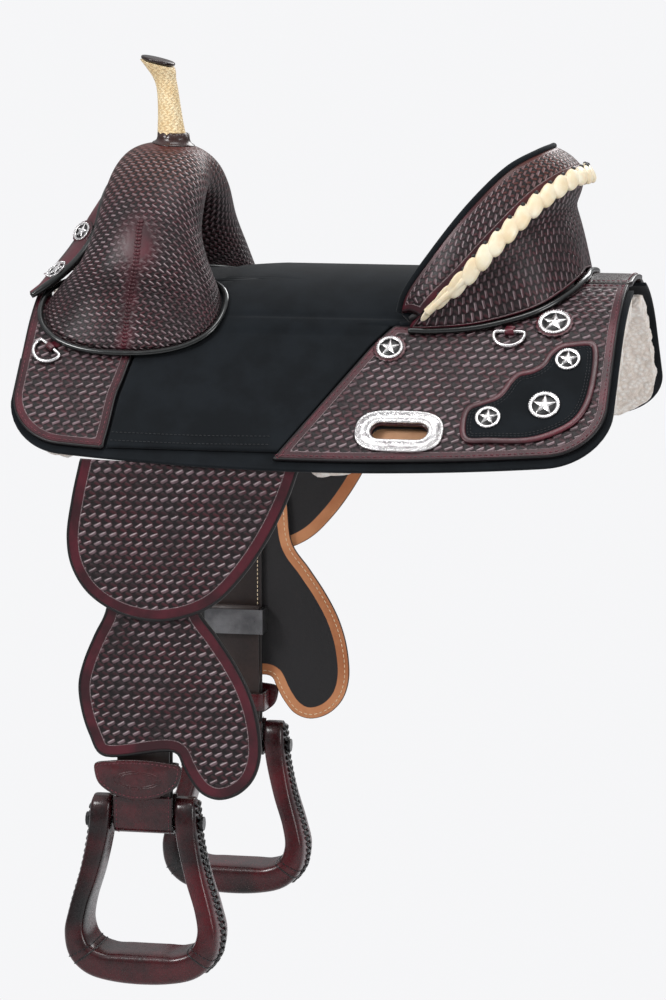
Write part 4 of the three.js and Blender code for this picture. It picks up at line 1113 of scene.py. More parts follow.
# Where each dee hangs, x, s and turn in degrees, and the arch and section of the strap over it.
DEES = {"front": (-322, 180, 40), "rear": (195, 145, 0)}
DEE_ARCH = [(-9.5, -2.5), (-7, -2.4), (-4.6, -1.4), (-3.4, 0.8), (-2.3, 2.6), (0, 3.4), (2.3, 2.6),
            (3.3, 0.8), (3.2, -1.0), (3.0, -2.6)]
STRAP_SECTION = ((-5, -0.3), (-5, 0.3), (-4.4, 0.6), (4.4, 0.6), (5, 0.3), (5, -0.3), (4.4, -0.6),
                 (-4.4, -0.6))


def make_dee(prefix, end, side):
    x, s, turn = DEES[end]
    place = on_drape(side)
    origin = place(x, s, 9.4)
    down = unit(place(x, s + 1, 9.4) - origin)
    turn = math.radians(turn)
    forward = np.array([1.0, 0, 0])
    bar = forward * math.cos(turn) + down * math.sin(turn)
    hang = down * math.cos(turn) - forward * math.sin(turn)
    up = place(x, s, 10.4) - origin
    line = [(-12, 0), (-4, 0), (4, 0), (12, 0), (16.2, 1.0)]
    line += [(17.3 * math.cos(a), 4 + 16.5 * math.sin(a)) for a in np.linspace(0.05, math.pi - 0.05, 15)]
    line += [(-16.2, 1.0)]
    path = np.array([origin + bar * u + hang * v for u, v in line])
    ring = tube(f"{prefix}_{end}_dee_ring", spline(path, 90, closed=True), 2.0, 12, closed=True)
    dress(ring, BRIGHT, f"{prefix}_{end}_dee", [f"{prefix}_{end}_dee"])

    arch = spline(DEE_ARCH, 28)
    tangent = unit(np.gradient(arch, axis=0))
    normal = np.stack([-tangent[:, 1], tangent[:, 0]], axis=1)
    rings = []
    for (v, w), (nv, nw) in zip(arch, normal):
        section = []
        for across, out in STRAP_SECTION:
            section.append(origin + bar * across + hang * (v + nv * out) + up * (w + nw * out))
        rings.append(section)
    dress(lofted(f"{prefix}_{end}_dee_strap", rings), BURGUNDY,
          replaces=[f"{prefix}_{end}_dee_clip"])


# ---- seat -----------------------------------------------------------------------------------------
def seat_rear(s):
    reach = np.abs(s)
    arc = SEAT_BACK["x"] + SEAT_BACK["depth"] * np.sqrt(np.maximum(1 - (reach / SEAT_BACK["s"]) ** 2, 0))
    straight = along([(SEAT_BACK["s"], SEAT_BACK["x"]), (167, 40), (320, -48)], reach) - 1.2
    return np.where(reach < SEAT_BACK["s"], arc, straight)


def make_seat():
    s = np.concatenate([np.linspace(-309.5, -306, 3), np.linspace(-303, -139, 45),
                        np.linspace(-137.5, -128, 8), np.linspace(-125, 0, 34)])
    s = np.concatenate([s, -s[::-1][1:]])
    share = np.concatenate([[0, 0.003, 0.01], np.linspace(0.025, 0.975, 56), [0.99, 0.997, 1]])
    front, rear = along(SEAT_FRONT, np.abs(s)), seat_rear(s)
    x = front[:, None] + (rear - front)[:, None] * share[None, :]
    flat = np.stack([x, np.broadcast_to(s[:, None], x.shape)], axis=-1)
    reach = np.abs(flat[..., 1])
    middle = np.clip(1 - (reach / 150) ** 2, 0, 1) * np.clip((x + 150) / 60, 0, 1) * np.clip(
        (rear[:, None] - x) / 40, 0, 1)
    crown = 7.0 * np.sqrt(middle)
    seam = np.exp(-(((reach - 128) / 3.0) ** 2)) * np.clip((x + 140) / 40, 0, 1)
    high = SEAT_TOP + crown - 1.4 * seam
    seat = sheet_grid("seat_suede", flat, drape, 0.8, high, rounding=1.4)
    dress(seat, SUEDE, replaces=["seat_leather"])
    for prefix, side in SIDES:
        place = on_drape(side)
        for number, low in ((1, 303), (2, 292)):
            line = spline([(-232, low - 1.5), (-140, low), (-56, low - 1.5)], 30)
            stitch_line(f"{prefix}_seat_thread_{number}", place, line, SEAT_TOP, "root", BLACK_THREAD,
                        4.6, 3.2, 0.6)


# ---- fork and horn --------------------------------------------------------------------------------
# Sections up the left half of the arch: y, z, half length along x, half thickness, x of the middle, and
# lean in degrees. The foot is the section that lies on the jockey.
FORK_ARCH = ((104, 44, 89, 45, -235, -18), (100, 72, 72, 42, -229, -4), (86, 104, 61, 38, -228, 18),
             (62, 137, 58, 34, -227, 42), (32, 158, 56, 32, -227, 68), (0, 166, 53, 33, -228, 90))
FORK_STAMP = 1.35
FORK_FOOT = {"x": -238, "half": 101, "s": 120, "spread": 62}
FORK_SQUARE = (0.86, 0.86)
FORK_PIPE = {"out": 5.2, "radius": 3.3}


def fork_rings(turn, inset=0.0):
    u, v = squared(turn, *FORK_SQUARE)

    def foot(side):
        return drape(FORK_FOOT["x"] + (FORK_FOOT["half"] - inset) * u,
                     side * (FORK_FOOT["s"] + (FORK_FOOT["spread"] - inset) * v), HEM)

    def ring(side, y, z, half, thick, x, lean):
        angle = math.radians(lean)
        outward = np.array([0, side * math.cos(angle), math.sin(angle)])
        along_x = np.stack([x + (half - inset) * u, np.full_like(u, side * y), np.full_like(u, z)], axis=1)
        return along_x + ((thick - inset) * v)[:, None] * outward
    left = [ring(-1, *row) for row in FORK_ARCH]
    right = [ring(1, *row) for row in FORK_ARCH[:-1][::-1]]
    return [foot(-1), *left, *right, foot(1)]


def refined(rings, count):
    """Rings spread evenly along splines through the matching points of the given rings."""
    rings = np.asarray(rings, float)
    return np.stack([spline(rings[:, j], count) for j in range(rings.shape[1])], axis=1)


def make_fork():
    turn = math.pi / 2 + np.linspace(0, 2 * math.pi, 129)
    outer = refined(fork_rings(turn), 121)
    inner = refined(fork_rings(turn, 3.8), 121)
    step_round = np.linalg.norm(np.diff(outer, axis=1), axis=2)
    round_length = np.concatenate([np.zeros((len(outer), 1)), np.cumsum(step_round, axis=1)], axis=1)
    step_up = np.linalg.norm(np.diff(outer, axis=0), axis=2)
    up_length = np.concatenate([np.zeros((1, outer.shape[1])), np.cumsum(step_up, axis=0)])
    from_foot = np.minimum(up_length, up_length[-1] - up_length)
    from_seam = np.minimum(round_length, round_length[:, -1:] - round_length)
    half_length = up_length - up_length[len(outer) // 2]
    uv = np.stack([np.where(round_length > round_length[:, -1:] / 2, round_length - round_length[:, -1:],
                            round_length), -np.abs(half_length)], axis=-1) * FORK_STAMP
    leaf = np.exp(-((np.minimum(from_seam - 4, 90) / 24) ** 2) - ((outer[..., 2] - 92) / 34) ** 2)
    seam_strip = np.clip(1.6 - from_seam / 7, 0, 1) * np.clip((128 - outer[..., 2]) / 12, 0, 1)
    round_horn = np.clip(1.9 - np.hypot(outer[..., 0] + 221, outer[..., 1]) / 26, 0, 1)
    round_horn = round_horn * (outer[..., 2] > 150)
    plain = np.clip(np.maximum(np.maximum(leaf * 1.6 - 0.35, seam_strip), round_horn), 0, 1)
    rows, cols = outer.shape[:2]
    shift = rows * cols
    faces = ring_faces(rows, cols, closed=False)
    faces += [tuple(shift + i for i in f[::-1]) for f in faces]
    for row in (0, (rows - 1) * cols):
        faces += [(row + j, row + j + 1, shift + row + j + 1, shift + row + j) for j in range(cols - 1)]
    cover = two_skins("fork_leather", outer, inner, faces, uv, from_foot, plain)
    dress(cover, TOOLED_WARM, replaces=["fork_cover"])

    seam = outer[:, 0]
    normal = unit(outer[:, 0] - outer.mean(axis=1))
    for prefix, side in SIDES:
        half = (seam[:, 1] * side > 0) & (seam[:, 2] < 118) & (from_foot[:, 0] > 3)
        path, up = seam[half], normal[half]
        herringbone(f"{prefix}_fork_seam", path, up, "root")
        u, v = squared(full_turn(160), *FORK_SQUARE)
        ring = drape(FORK_FOOT["x"] + (FORK_FOOT["half"] + FORK_PIPE["out"]) * u,
                     side * (FORK_FOOT["s"] + (FORK_FOOT["spread"] + FORK_PIPE["out"]) * v), JOCKEY_TOP + 3.7)
        pipe = tube(f"{prefix}_fork_rolled_edge", resample(ring, 4, True), FORK_PIPE["radius"], 14,
                    closed=True)
        dress(pipe, PIPING, replaces=[f"{prefix}_fork_piping"])
    return cover


# Rings of one lace: place along it and thickness, as shares.
LACE_RINGS = ((0.0, 0.4), (0.2, 1.0), (0.5, 1.1), (0.8, 1.0), (1.0, 0.4))


def herringbone(name, path, up, body, spacing=4.2, wide=4.4, material=BURGUNDY,
                fat=1.0):
    """A closed seam: a row of slanted laces each way from its middle."""
    p = resample(path, spacing)
    at = np.linspace(0, len(up) - 1, len(p)).round().astype(int)
    up = unit(np.asarray(up)[at])
    tangent = path_tangent(p)
    across = unit(np.cross(tangent, up))
    points, faces = [], []
    for q, t, a, u in zip(p, tangent, across, up):
        for hand in (-1, 1):
            direction = unit(a * hand * wide + t * spacing * 0.8)
            side_way = unit(np.cross(direction, u))
            faces += body_faces(len(LACE_RINGS), 8, len(points))
            for share, size in LACE_RINGS:
                middle = q + direction * wide * share + u * (0.3 + 0.5 * math.sin(math.pi * share))
                for angle in full_turn(8):
                    points.append(middle + size * fat * (side_way * math.cos(angle) * 1.5
                                                         + u * math.sin(angle) * 0.8))
    dress(make_mesh(name, points, faces), material, body)


# Rings of the horn from its foot to its head: x, z, radius and rearward tilt in degrees.
HORN = ((-221.5, 202.5, 17, -4), (-222.5, 214, 15.4, -4), (-224.5, 240, 13, -4), (-227, 262, 12.3, 0),
        (-230, 272, 13.6, 5), (-234, 281, 17.4, 10), (-238, 288, 20.5, 14))
HORN_STAMP, HORN_SIDES = 1.7, 72
CAP_CENTRE, CAP_TILT, CAP_RADIUS = (-237.2, 0, 291.4), math.radians(14), 21
CAP_PROFILE = ((0.86, -2.4), (0.92, -1.9), (0.95, -0.6), (0.95, 0.6), (0.92, 1.5), (0.86, 2.0), (0.5, 2.5),
               (0.12, 2.6))
COLLAR_CENTRE, COLLAR_RADIUS, COLLAR_SIDES, COLLAR_SCALLOP = (-219.5, 0.0), 24.5, 96, 2.2
COLLAR_PROFILE = ((1.0, 0.0), (1.0, 0.7), (0.96, 1.4), (0.88, 2.0), (0.80, 3.4), (0.76, 6.5), (0.75, 10.0),
                  (0.66, 10.4))


def tilted_ring(x, z, radius, tilt, turn, rise=0.0):
    a = radius * np.cos(turn)
    return np.stack([x + a * math.cos(tilt) + rise * math.sin(tilt), radius * np.sin(turn),
                     z - a * math.sin(tilt) + rise * math.cos(tilt)], axis=1)


def make_horn(cover):
    turn = full_turn(HORN_SIDES)
    rings, uv = [], []
    for x, z, radius, degrees in spline(HORN, 110):
        rings.append(tilted_ring(x, z, radius, math.radians(degrees), turn))
        uv.append(np.stack([np.abs(turn - math.pi) * 13, np.full(HORN_SIDES, z)], axis=1) * HORN_STAMP)
    dress(lofted("horn_rawhide", rings, uv=uv), WRAPPED, replaces=["horn_wrap"])
    rings = [tilted_ring(CAP_CENTRE[0], CAP_CENTRE[2], CAP_RADIUS * share, CAP_TILT, turn, h)
             for share, h in CAP_PROFILE]
    cap = lofted("horn_cap_leather", rings, edge=level_edges((0, 0.5, 1.2, 2.0, 3, 5, 12, 20), HORN_SIDES))
    dress(cap, BROWN, replaces=["horn_cap"])

    # The collar lies on the swell round the foot of the horn.
    swell = BVHTree.FromPolygons([v.co for v in cover.data.vertices],
                                 [tuple(f.vertices) for f in cover.data.polygons])
    rings = []
    for share, h in COLLAR_PROFILE:
        ring = []
        for angle in full_turn(COLLAR_SIDES):
            x = COLLAR_CENTRE[0] + COLLAR_RADIUS * share * math.cos(angle)
            y = COLLAR_CENTRE[1] + COLLAR_RADIUS * share * math.sin(angle)
            hit = swell.ray_cast(Vector((x * MM, y * MM, 0.4)), Vector((0, 0, -1)))
            scallop = COLLAR_SCALLOP * abs(math.cos(angle * 6)) if h > 9 else 0.0
            ring.append((x, y, hit[0].z / MM + h + scallop))
        rings.append(ring)
    collar = lofted("horn_collar", rings, edge=level_edges((0, 0.4, 1.4, 3, 6, 8, 10, 12), COLLAR_SIDES))
    dress(collar, BROWN)


# The leather in front of the fork: its rear edge and front edge from the centre to the left tip.
BRIDGE_REAR = [(-290, 0, 146), (-292, 38, 128), (-297, 62, 94), (-310, 83, 69), (-334, 100, 45),
               (-357, 111, 28)]
BRIDGE_FRONT = [(-304, 0, 113), (-312, 32, 103), (-328, 60, 74), (-342, 80, 52), (-352, 92, 37),
                (-358, 101, 29)]


def make_front_bridge():
    count = 97
    rear = spline(mirrored(BRIDGE_REAR), count)
    front = spline(mirrored(BRIDGE_FRONT), count)
    normal = unit(np.cross(np.gradient(rear, axis=0), front - rear))
    normal[normal[:, 0] > 0] *= -1
    share = np.array([0, 0.02, 0.07, 0.2, 0.35, 0.5, 0.65, 0.8, 0.93, 0.98, 1])
    grid = rear[:, None] + (front - rear)[:, None] * share[None, :, None]
    bulge = 2.5 * np.sin(math.pi * share) ** 0.7
    drop = np.array([1.4, 0.5, 0, 0, 0, 0, 0, 0, 0, 0.5, 1.4])
    outer = grid + normal[:, None] * (4.5 + bulge - drop)[None, :, None]
    inner = grid + normal[:, None] * drop[None, :, None]
    across = np.linalg.norm(front - rear, axis=1)[:, None] * share[None, :]
    length = run_length(rear)
    uv = np.stack([np.broadcast_to(length[:, None], across.shape), across], axis=-1)
    edge = np.minimum(across, across[:, -1:] - across)
    edge = np.minimum(edge, np.minimum(length, length[-1] - length)[:, None] * 0.9)
    bridge = two_skins("front_bridge_leather", outer, inner, skin_faces(*grid.shape[:2])[0], uv, edge)
    dress(bridge, BURGUNDY, replaces=["front_bridge"])
    rolled = rear + normal * 2.2 + unit(rear - front) * 2.2
    radius = np.interp(np.linspace(-1, 1, count), [-1, -0.9, 0, 0.9, 1], [3.0, 4.6, 5.0, 4.6, 3.0])
    dress(tube("front_bridge_rolled_edge", rolled, radius, 14), PIPING)
    front_edge = front + normal * 2.2
    dress(tube("front_bridge_front_edge", front_edge, 2.6, 10), PIPING)
    for prefix, side in SIDES:
        for number, (share_along, share_across, size, petals) in enumerate(
                ((0.34, 0.5, 11.5, 15.0), (0.68, 0.42, 13.0, 0.0)), 1):
            i = int(round((count - 1) * (0.5 + side * 0.5 * share_along)))
            origin = rear[i] + (front[i] - rear[i]) * share_across + normal[i] * 6.4
            tangent = unit(rear[min(i + 1, count - 1)] - rear[i - 1])
            at = patch(origin, tangent, unit(np.cross(normal[i], tangent)), normal[i])
            star_concho(f"{prefix}_bridge_concho_{number}", at, size, petals)


# ---- cantle ----------------------------------------------------------------------------------------
# Curves of the cantle from its middle to its left tip: its top edge and laced edge as x, y and z, and
# its foot as x and s.
CANTLE_TOP = [(220, 0, 199), (210, 42, 195), (183, 82, 179), (146, 112, 140), (105, 127, 86), (76, 132, 42),
              (70, 131, 22)]
CANTLE_LACED = [(256, 0, 170), (244, 50, 167), (214, 92, 144), (177, 124, 104), (138, 140, 60),
                (110, 143, 34), (97, 142, 21)]
CANTLE_HOLLOW = 13
CANTLE_FOOT = [(260, 0), (261, 38), (250, 76), (222, 110), (165, 135), (110, 143), (82, 143)]
CANTLE_COUNT = 161
CANTLE_STAMP = 1.35


def cantle_curves():
    top = spline(mirrored(CANTLE_TOP), CANTLE_COUNT)
    laced = spline(mirrored(CANTLE_LACED), CANTLE_COUNT)
    foot_flat = spline(mirrored([(x, s, 0) for x, s in CANTLE_FOOT]), CANTLE_COUNT)
    turn = np.linspace(-1, 1, CANTLE_COUNT) * 1.42
    seat = drape(SEAT_BACK["x"] + SEAT_BACK["depth"] * np.cos(turn) + 2, SEAT_BACK["s"] * np.sin(turn), HEM)
    foot = drape(foot_flat[:, 0], foot_flat[:, 1], HEM)
    middle = (seat + foot) / 2
    middle = middle + ((top + laced) / 2 - middle) * 0.62
    return {"seat": seat, "top": top, "laced": laced, "foot": foot, "middle": middle, "foot_flat": foot_flat}


def cantle_skin(name, curves, start, end, thickness, bulge, gap, material, replaces,
                upright_stamp=False):
    """The leather between two of the cantle's curves. bulge lifts its middle, and gap keeps it clear
    of both curves."""
    share = np.concatenate([[0, 0.01, 0.03], np.linspace(0.07, 0.93, 15), [0.97, 0.99, 1]])
    v = gap + (1 - 2 * gap) * share
    a, b, middle = curves[start], curves[end], curves["middle"]
    outer = a[:, None] + (b - a)[:, None] * v[None, :, None]
    away = unit(outer - middle[:, None])
    rounding = np.zeros(len(share))
    rounding[[0, -1]], rounding[[1, -2]] = 1.3, 0.4
    bulge = np.broadcast_to(np.asarray(bulge, float), (len(a),))
    outer = outer + away * (bulge[:, None] * np.sin(math.pi * v)[None, :] - rounding[None, :])[..., None]
    inner = outer - away * (thickness - 2 * rounding)[None, :, None] * 0.92
    width = np.linalg.norm(b - a, axis=1)
    across = width[:, None] * v[None, :]
    length = run_length((a + b) / 2)
    length = length - length[len(length) // 2]
    uv = np.stack([np.broadcast_to(np.abs(length)[:, None], across.shape), across], axis=-1) * CANTLE_STAMP
    if upright_stamp:
        uv = uv[..., ::-1] / 1.15
    edge = np.minimum(across - across[:, :1], across[:, -1:] - across)
    ends = (length[-1] - np.abs(length))[:, None]
    edge = np.minimum(edge, ends + 1)
    skin = two_skins(name, outer, inner, skin_faces(*outer.shape[:2])[0], uv, edge)
    dress(skin, material, replaces=replaces)


LACE_PITCH, LACE_LENGTH, LACE_WIDTH, LACE_HEIGHT = 20.5, 33.0, 19.0, 6.6
LACE_STATIONS, LACE_SIDES = 19, 24


def wrapped_lacing(name, path, out, over):
    """Flat rawhide wound over an edge: overlapping slanted turns along a path. out points away from
    the edge, over from the back of the edge to its front."""
    line = resample(path, 1.0)
    source = np.linspace(0, 1, len(path))
    at = np.linspace(0, 1, len(line))
    out = unit(np.stack([np.interp(at, source, out[:, k]) for k in range(3)], axis=1))
    over = unit(np.stack([np.interp(at, source, over[:, k]) for k in range(3)], axis=1))
    tangent = path_tangent(line)
    points, faces, holes = [], [], []
    count = int((len(line) - LACE_LENGTH) / LACE_PITCH)
    for k in range(count + 1):
        i = int(LACE_LENGTH / 2 + (len(line) - 1 - LACE_LENGTH) * k / count)
        middle, t, o = line[i], tangent[i], out[i]
        w = unit(over[i] - t * (over[i] @ t) - o * (over[i] @ o))
        along_turn = unit(t + w * 0.36)
        wide = unit(np.cross(along_turn, o))
        size = {0: 0.55, 1: 0.8}.get(min(k, count - k), 1.0)
        faces += body_faces(LACE_STATIONS, LACE_SIDES, len(points))
        for share in np.linspace(-1, 1, LACE_STATIONS):
            fat = max(1 - abs(share) ** 2.6, 0.0) ** 0.5
            half = LACE_WIDTH / 2 * size * (0.12 + 0.88 * fat)
            rise = LACE_HEIGHT * size * (0.25 + 0.75 * fat)
            centre = (middle + along_turn * share * LACE_LENGTH / 2
                      + o * (1.2 * math.cos(share * 1.4) - 0.8 * share))
            for angle in full_turn(LACE_SIDES):
                c, s = math.cos(angle), math.sin(angle)
                points.append(centre + wide * half * math.copysign(abs(c) ** 0.85, c)
                              + o * rise * (math.copysign(abs(s) ** 0.8, s) * 0.75))
        holes.append(middle + t * LACE_PITCH / 2 + w * LACE_WIDTH * 0.50 + o * 2.2)
    return make_mesh(name, points, faces), holes[:-1]


def make_cantle():
    curves = cantle_curves()
    cantle_skin("cantle_facing_suede", curves, "seat", "top", 4.2, 0, 0.03, SUEDE, ["cantle_facing"])
    cantle_skin("cantle_band_leather", curves, "top", "laced", 4.6, 5, 0.04, CANTLE_TOOLED,
                ["cantle_band"])
    hollow = -CANTLE_HOLLOW * (1 - np.linspace(-1, 1, CANTLE_COUNT) ** 2) ** 2
    cantle_skin("cantle_back_leather", curves, "laced", "foot", 3.0, hollow, 0.03, BACK_TOOLED,
                ["cantle_back_cover"], upright_stamp=True)
    top, laced, foot = curves["top"], curves["laced"], curves["foot"]
    outward = unit(unit(laced - top) + unit(laced - foot))
    near_tip = np.abs(np.linspace(-1, 1, CANTLE_COUNT)) ** 2
    lace = laced + outward * (4.4 + 2.5 * near_tip)[:, None] + unit(foot - laced) * 3.6
    ends = unit(lace[[1, -2]] - lace[[4, -5]]) * 9
    path = np.vstack([lace[1] + ends[0], lace[2:-2], lace[-2] + ends[1]])
    lacing, holes = wrapped_lacing("cantle_rawhide_lacing", path, outward[1:-1], unit(top - laced)[1:-1])
    dress(lacing, RAWHIDE, replaces=["cantle_lacing"])
    core = tube("cantle_lacing_core", lace[3:-3], 4.8, 12)
    dress(core, RAWHIDE)
    # Painted shade: small black balls stand in for the dark of the lace holes between the turns.
    hole_shade = [bead(lambda a, b, h, q=q: np.array([q]), np.zeros(1), np.zeros(1), 0, 2.9) for q in holes]
    dress(make_mesh("cantle_lace_hole_shade", *merge_beads(hole_shade)), LACE)
    flat = curves["foot_flat"]
    tangent = path_tangent(flat[:, :2])
    pipe = drape(flat[:, 0] + 4.4 * tangent[:, 1], flat[:, 1] - 4.4 * tangent[:, 0], JOCKEY_TOP + 3.8)
    dress(tube("cantle_rolled_edge", pipe, 3.4, 14), PIPING, replaces=["cantle_piping"])
    turn = np.linspace(-1.5, 1.5, 90)
    seam = drape(SEAT_BACK["x"] + (SEAT_BACK["depth"] + 0.5) * np.cos(turn),
                 (SEAT_BACK["s"] - 1) * np.sin(turn), SEAT_TOP + 0.5)
    dress(tube("cantle_seat_welt", seam, 3.2, 10), SUEDE)
    edge_path = curves["top"] + unit(curves["top"] - curves["middle"]) * 0.6
    dress(tube("cantle_top_welt", edge_path, 3.4, 12), SUEDE)

    outline = [(252, -44), (252, 44), (280, 45), (312, 45), (317, 38), (317, -38), (312, -45), (280, -45)]
    rear = panel("rear_bridge_leather", outline, (285, 0), drape, 0.8, 6.5, step=3, crown=0.5)
    dress(rear, BROWN, replaces=["rear_bridge"])
    stitched("rear_bridge_thread", outline, (285, 0), drape, 7.2, 5, spacing=5.4,
             length=3.8)


# ---- flap, fender, stirrup leather -----------------------------------------------------------------
# Outlines of the left side seen square on: x and z.
FLAP = [(-18, -139.5), (-32, -178), (-56, -225), (-85, -266), (-115, -295), (-152, -311), (-188, -315),
        (-227, -306), (-259, -285), (-277, -256), (-282, -224), (-276, -180), (-266, -135.5)]
FENDER = [(-165, -176), (-142, -240), (-134, -300), (-113, -330), (-92, -361), (-76, -392), (-66, -427),
          (-64, -466), (-73, -492), (-91, -509), (-113, -515), (-131, -509), (-144, -494), (-153, -478),
          (-161, -464), (-246, -470), (-260, -447), (-269, -419), (-272, -390), (-266, -364), (-253, -333),
          (-240, -306), (-232, -240), (-215, -176)]


# Section of a strap: place across it in half widths, and out from its middle in thicknesses.
STRAP_EDGE = ((-1, -0.25), (-1, 0.25), (-0.985, 0.42), (-0.96, 0.5), (0.96, 0.5), (0.985, 0.42), (1, 0.25),
              (1, -0.25), (0.985, -0.42), (0.96, -0.5), (-0.96, -0.5), (-0.985, -0.42))


def path_normal(path):
    """Crosswise direction of an open flat path at each of its points."""
    tangent = path_tangent(path)
    return np.stack([tangent[:, 1], -tangent[:, 0]], axis=1)


def swept_strap(name, path, half_width, thickness, side, material, body, replaces):
    """A strap whose path is given across the bolt, as distance from the centre plane and z."""
    half_width = np.broadcast_to(np.asarray(half_width, float), (len(path),))
    rings, edge = [], []
    for (y, z), (ny, nz), half in zip(path, path_normal(path), half_width):
        rings.append([(HANG_X + half * u, side * (y + ny * thickness * w), z + nz * thickness * w)
                      for u, w in STRAP_EDGE])
        edge.append([half * (1 - abs(u)) for u, w in STRAP_EDGE])
    dress(lofted(name, rings, edge=edge), material, body, replaces)


def bend_path(front_y, back_y, front_top, back_top, count=24):
    """Down in front, round the bolt and up behind: distance from the centre plane and z."""
    middle, radius = (front_y + back_y) / 2, (front_y - back_y) / 2
    down = [(front_y, z) for z in np.linspace(front_top, BOLT_Z, count)[:-1]]
    turn = [(middle + radius * math.cos(a), BOLT_Z - radius * math.sin(a))
            for a in np.linspace(0, math.pi, 16)]
    up = [(back_y, z) for z in np.linspace(BOLT_Z, back_top, count)[1:]]
    return down + turn + up


def back_faces(obj, side):
    """Gives the faces that look at the horse the piece's second finish."""
    inward = Vector((0, -side, 0))
    for face in obj.data.polygons:
        if face.normal.dot(inward) > 0.7:
            face.material_index = 1


def make_hanging(prefix, side):
    body, place = f"{prefix}_leather", hanging(side)
    flap_line = np.vstack([spline(FLAP, 120), [(-240, -136.5), (-200, -137.5), (-140, -139), (-60, -139.5)]])
    flap = panel(f"{prefix}_flap_leather", flap_line, (-160, -205), place, *FLAP_Y,
                 edge_line=spline(FLAP, 120))
    dress(flap, TOOLED_WIDE, f"{prefix}_flap", [f"{prefix}_flap"], also=(LINED,))
    back_faces(flap, side)

    fender_line, fender_centre = spline(FENDER, 220), (-165, -400)
    fender = panel(f"{prefix}_fender_leather", fender_line, fender_centre, place, *FENDER_Y)
    dress(fender, TOOLED_WIDE, body, [f"{prefix}_fender"], also=(LINED,))
    back_faces(fender, side)
    stitched(f"{prefix}_fender_back_thread", fender_line, fender_centre, place, FENDER_Y[0] - 0.3, 5.4, body,
             PALE_THREAD)

    # The stirrup leather: an eye round the hanger's pin, a shoulder, then down round the bolt and up.
    path = [(230.5, z) for z in np.linspace(-137, -507, 60)] + bend_path(230.5, 216.5, -510, -374)
    heights = np.array([z for _, z in path])
    front = np.arange(len(path)) < 76
    neck = np.sqrt(np.maximum(15.0 ** 2 - np.maximum(heights + 152, 0) ** 2, 1.0))
    shoulder = np.interp(heights, [-194, -152], [30, 15])
    half = np.where(front & (heights > -152), neck, np.where(front & (heights > -194), shoulder, 30.0))
    swept_strap(f"{prefix}_stirrup_strap", path, half, 4.8, side, STRAP, body,
                [f"{prefix}_stirrup_leather"])
    for number, sign in ((1, -1), (2, 1)):
        line = np.array([(HANG_X + sign * 25, z) for z in np.linspace(-200, -495, 80)])
        stitch_line(f"{prefix}_strap_back_thread_{number}", place, line, 227.8, body, PALE_THREAD,
                    5.0, 3.4, 0.55)
    sleeve_path = bend_path(235.1, 211.9, -516, -516)
    swept_strap(f"{prefix}_bolt_sleeve_leather", sleeve_path, 34, 3.0, side, OXBLOOD, body,
                [f"{prefix}_bolt_sleeve"])
    outward = path_normal(sleeve_path)
    outward = outward if outward[2][0] > 0 else -outward
    ups = [(0, side * ny, nz) for ny, nz in outward]
    for number, sign in ((1, -1), (2, 1)):
        points = [(HANG_X + sign * 30, side * (y + ny * 1.5), z + nz * 1.5)
                  for (y, z), (ny, nz) in zip(sleeve_path, outward)]
        dress(stitch_row(f"{prefix}_bolt_sleeve_thread_{number}", points, ups, 5.0, 3.4, 0.5), RED_THREAD,
              body)
    make_hobble(prefix, side, body)
    make_stirrup(prefix, side, f"{prefix}_stirrup")


HOBBLE = [(-52, -478), (-34, -474), (-3, -472), (28, -474), (46, -478), (46, -490), (42, -500), (31, -509),
          (17, -515), (-3, -518), (-23, -515), (-37, -509), (-48, -500), (-52, -490)]


HOBBLE_CENTRE = (HANG_X - 3, -495)
HOBBLE_OVAL = (27, 9.5)
BELT = {"half_x": 37.5, "low": 209.2, "high": 242.6, "bend": 6, "z": -492, "half_z": 11, "half_thick": 1.4}
BELT_EDGE = ((-1, -0.5), (-0.97, -0.9), (-0.9, -1), (0.9, -1), (0.97, -0.9), (1, -0.5), (1, 0.5), (0.97, 0.9),
             (0.9, 1), (-0.9, 1), (-0.97, 0.9), (-1, 0.5))


def make_hobble(prefix, side, body):
    """The strap that holds the leather together over the stirrup: its face with two plain ovals, and
    the belt round the leather."""
    outline = spline([(HANG_X + x, z) for x, z in HOBBLE], 120, closed=True)
    place = hanging(side)
    face = panel(f"{prefix}_hobble_face", outline, HOBBLE_CENTRE, place, 243.4, 247.0, step=2.5, crown=0.6)
    dress(face, OXBLOOD, body, [f"{prefix}_hobble_strap"])
    stitched(f"{prefix}_hobble_thread", outline, HOBBLE_CENTRE, place, 247.2, 3.6, body,
             spacing=5.0, length=3.4, radius=0.5)
    turn = np.linspace(0, 2 * math.pi, 60)[:-1]
    for number, share in ((1, 1.0), (2, 0.8)):
        line = HOBBLE_CENTRE + np.stack([np.cos(turn), np.sin(turn)], axis=1) * HOBBLE_OVAL * share
        path, _ = surface_path(place, line, 247.4)
        oval = tube(f"{prefix}_hobble_oval_{number}", path, 0.7, 8, closed=True)
        dress(oval, OXBLOOD, body)
    bend = BELT["bend"]
    right, left = BELT["half_x"] - bend - 2, -BELT["half_x"] + bend - 2
    out, back = BELT["high"] - bend, BELT["low"] + bend
    loop = [(HANG_X + x + bend * math.cos(angle), y + bend * math.sin(angle))
            for x, y, start in ((right, out, 0), (left, out, 90), (left, back, 180), (right, back, 270))
            for angle in np.radians(np.linspace(start, start + 90, 8))]
    loop = resample(loop, 3, closed=True)
    rings, edge = [], []
    for (x, y), (nx, ny) in zip(loop, -line_normal(loop) * BELT["half_thick"]):
        rings.append([(x + nx * w, side * (y + ny * w), BELT["z"] + BELT["half_z"] * u)
                      for u, w in BELT_EDGE])
        edge.append([11.5 * (1 - abs(u)) for u, w in BELT_EDGE])
    dress(lofted(f"{prefix}_hobble_belt", rings, looped=True, edge=edge), OXBLOOD, body)


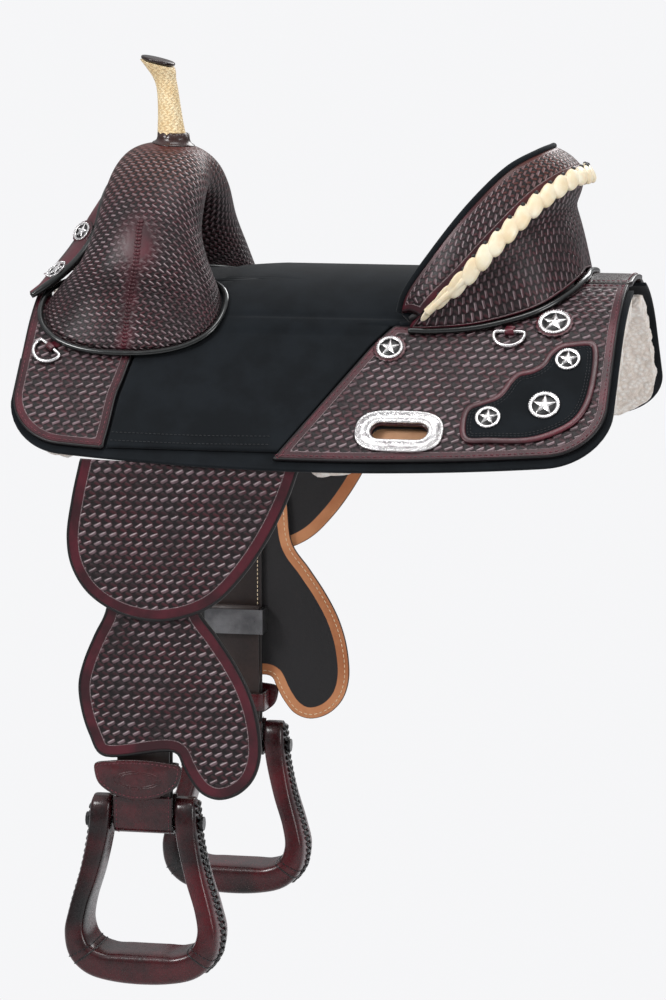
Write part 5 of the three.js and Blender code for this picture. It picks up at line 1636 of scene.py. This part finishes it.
# One leg and half the tread from the top down: outer x and z, inner x and z, and depth.
STIRRUP = ((58, -517, 36.5, -517, 14), (60, -524, 36.5, -524, 30), (61.5, -538, 36.5, -538, 38),
           (63.5, -560, 38.5, -560, 42), (72, -602, 49, -605, 50), (84, -645, 61, -643, 58),
           (89, -672, 64, -666, 63), (83, -699, 57, -684, 67), (64, -718, 40, -691, 68),
           (30, -727, 20, -691, 68))


STIRRUP_SIDES = 40


def make_stirrup(prefix, side, body):
    whole = [(-a, b, -c, d, e) for a, b, c, d, e in STIRRUP] + list(STIRRUP[::-1])
    stations = spline(whole, 150)
    across, deep = squared(full_turn(STIRRUP_SIDES), 0.42, 0.42)
    rings = []
    for out_x, out_z, in_x, in_z, depth in stations:
        x = HANG_X + out_x + (in_x - out_x) * (0.5 + 0.5 * across)
        z = out_z + (in_z - out_z) * (0.5 + 0.5 * across)
        rings.append(np.stack([x, side * (BOLT_Y + 0.5 * deep * depth), z], axis=1))
    edge = np.full((len(stations), STIRRUP_SIDES), 9.0)
    cover = lofted(f"{prefix}_stirrup_leather_cover", rings, edge=edge)
    dress(cover, OXBLOOD, body, [f"{prefix}_stirrup_frame"])

    # The braid down the outer face of each leg, and the stitched ends of the tread cover.
    for number, leg in ((1, slice(10, 62)), (2, slice(88, 140))):
        path = np.array([(HANG_X + x, side * BOLT_Y, z) for x, z in stations[leg, :2]])
        out = unit(path - (HANG_X, side * BOLT_Y, -620))
        herringbone(f"{prefix}_stirrup_braid_{number}", path, out, body, 7.0, 11.0, LACE, 1.9)
    for number, end, seam_at in ((1, 55, 58), (2, 95, 92)):
        loop = resample(rings[end], 1.0, closed=True)
        up = unit(loop - loop.mean(axis=0))
        thread = stitch_row(f"{prefix}_tread_thread_{number}", loop + up * 0.4, up, 5.4, 4.0, 0.6,
                            closed=True)
        dress(thread, BLACK_THREAD, body)
        seam = tube(f"{prefix}_tread_seam_{number}", resample(rings[seam_at], 2.5, True), 0.9, 8, closed=True)
        dress(seam, LACE, body)


# ---- build it all ----------------------------------------------------------------------------------
aim_camera()
lay_floor()
light_up()
make_horn(make_fork())
make_front_bridge()
make_cantle()
make_seat()
for prefix, side in SIDES:
    make_side(prefix, side)
    rigging_plate(prefix, side)
    for end in DEES:
        make_dee(prefix, end, side)
    make_hanging(prefix, side)
    dress_node(f"{prefix}_bar", FIBRE)
    for metal in ("stirrup_hanger", "buckle_plate", "buckle_sleeve"):
        dress_node(f"{prefix}_{metal}", STEEL)
    dress_node(f"{prefix}_stirrup_bolt", LACE)
for node in ("fork_core", "cantle_core", "ground_seat"):
    dress_node(node, FIBRE)
dress_node("horn_core", STEEL)
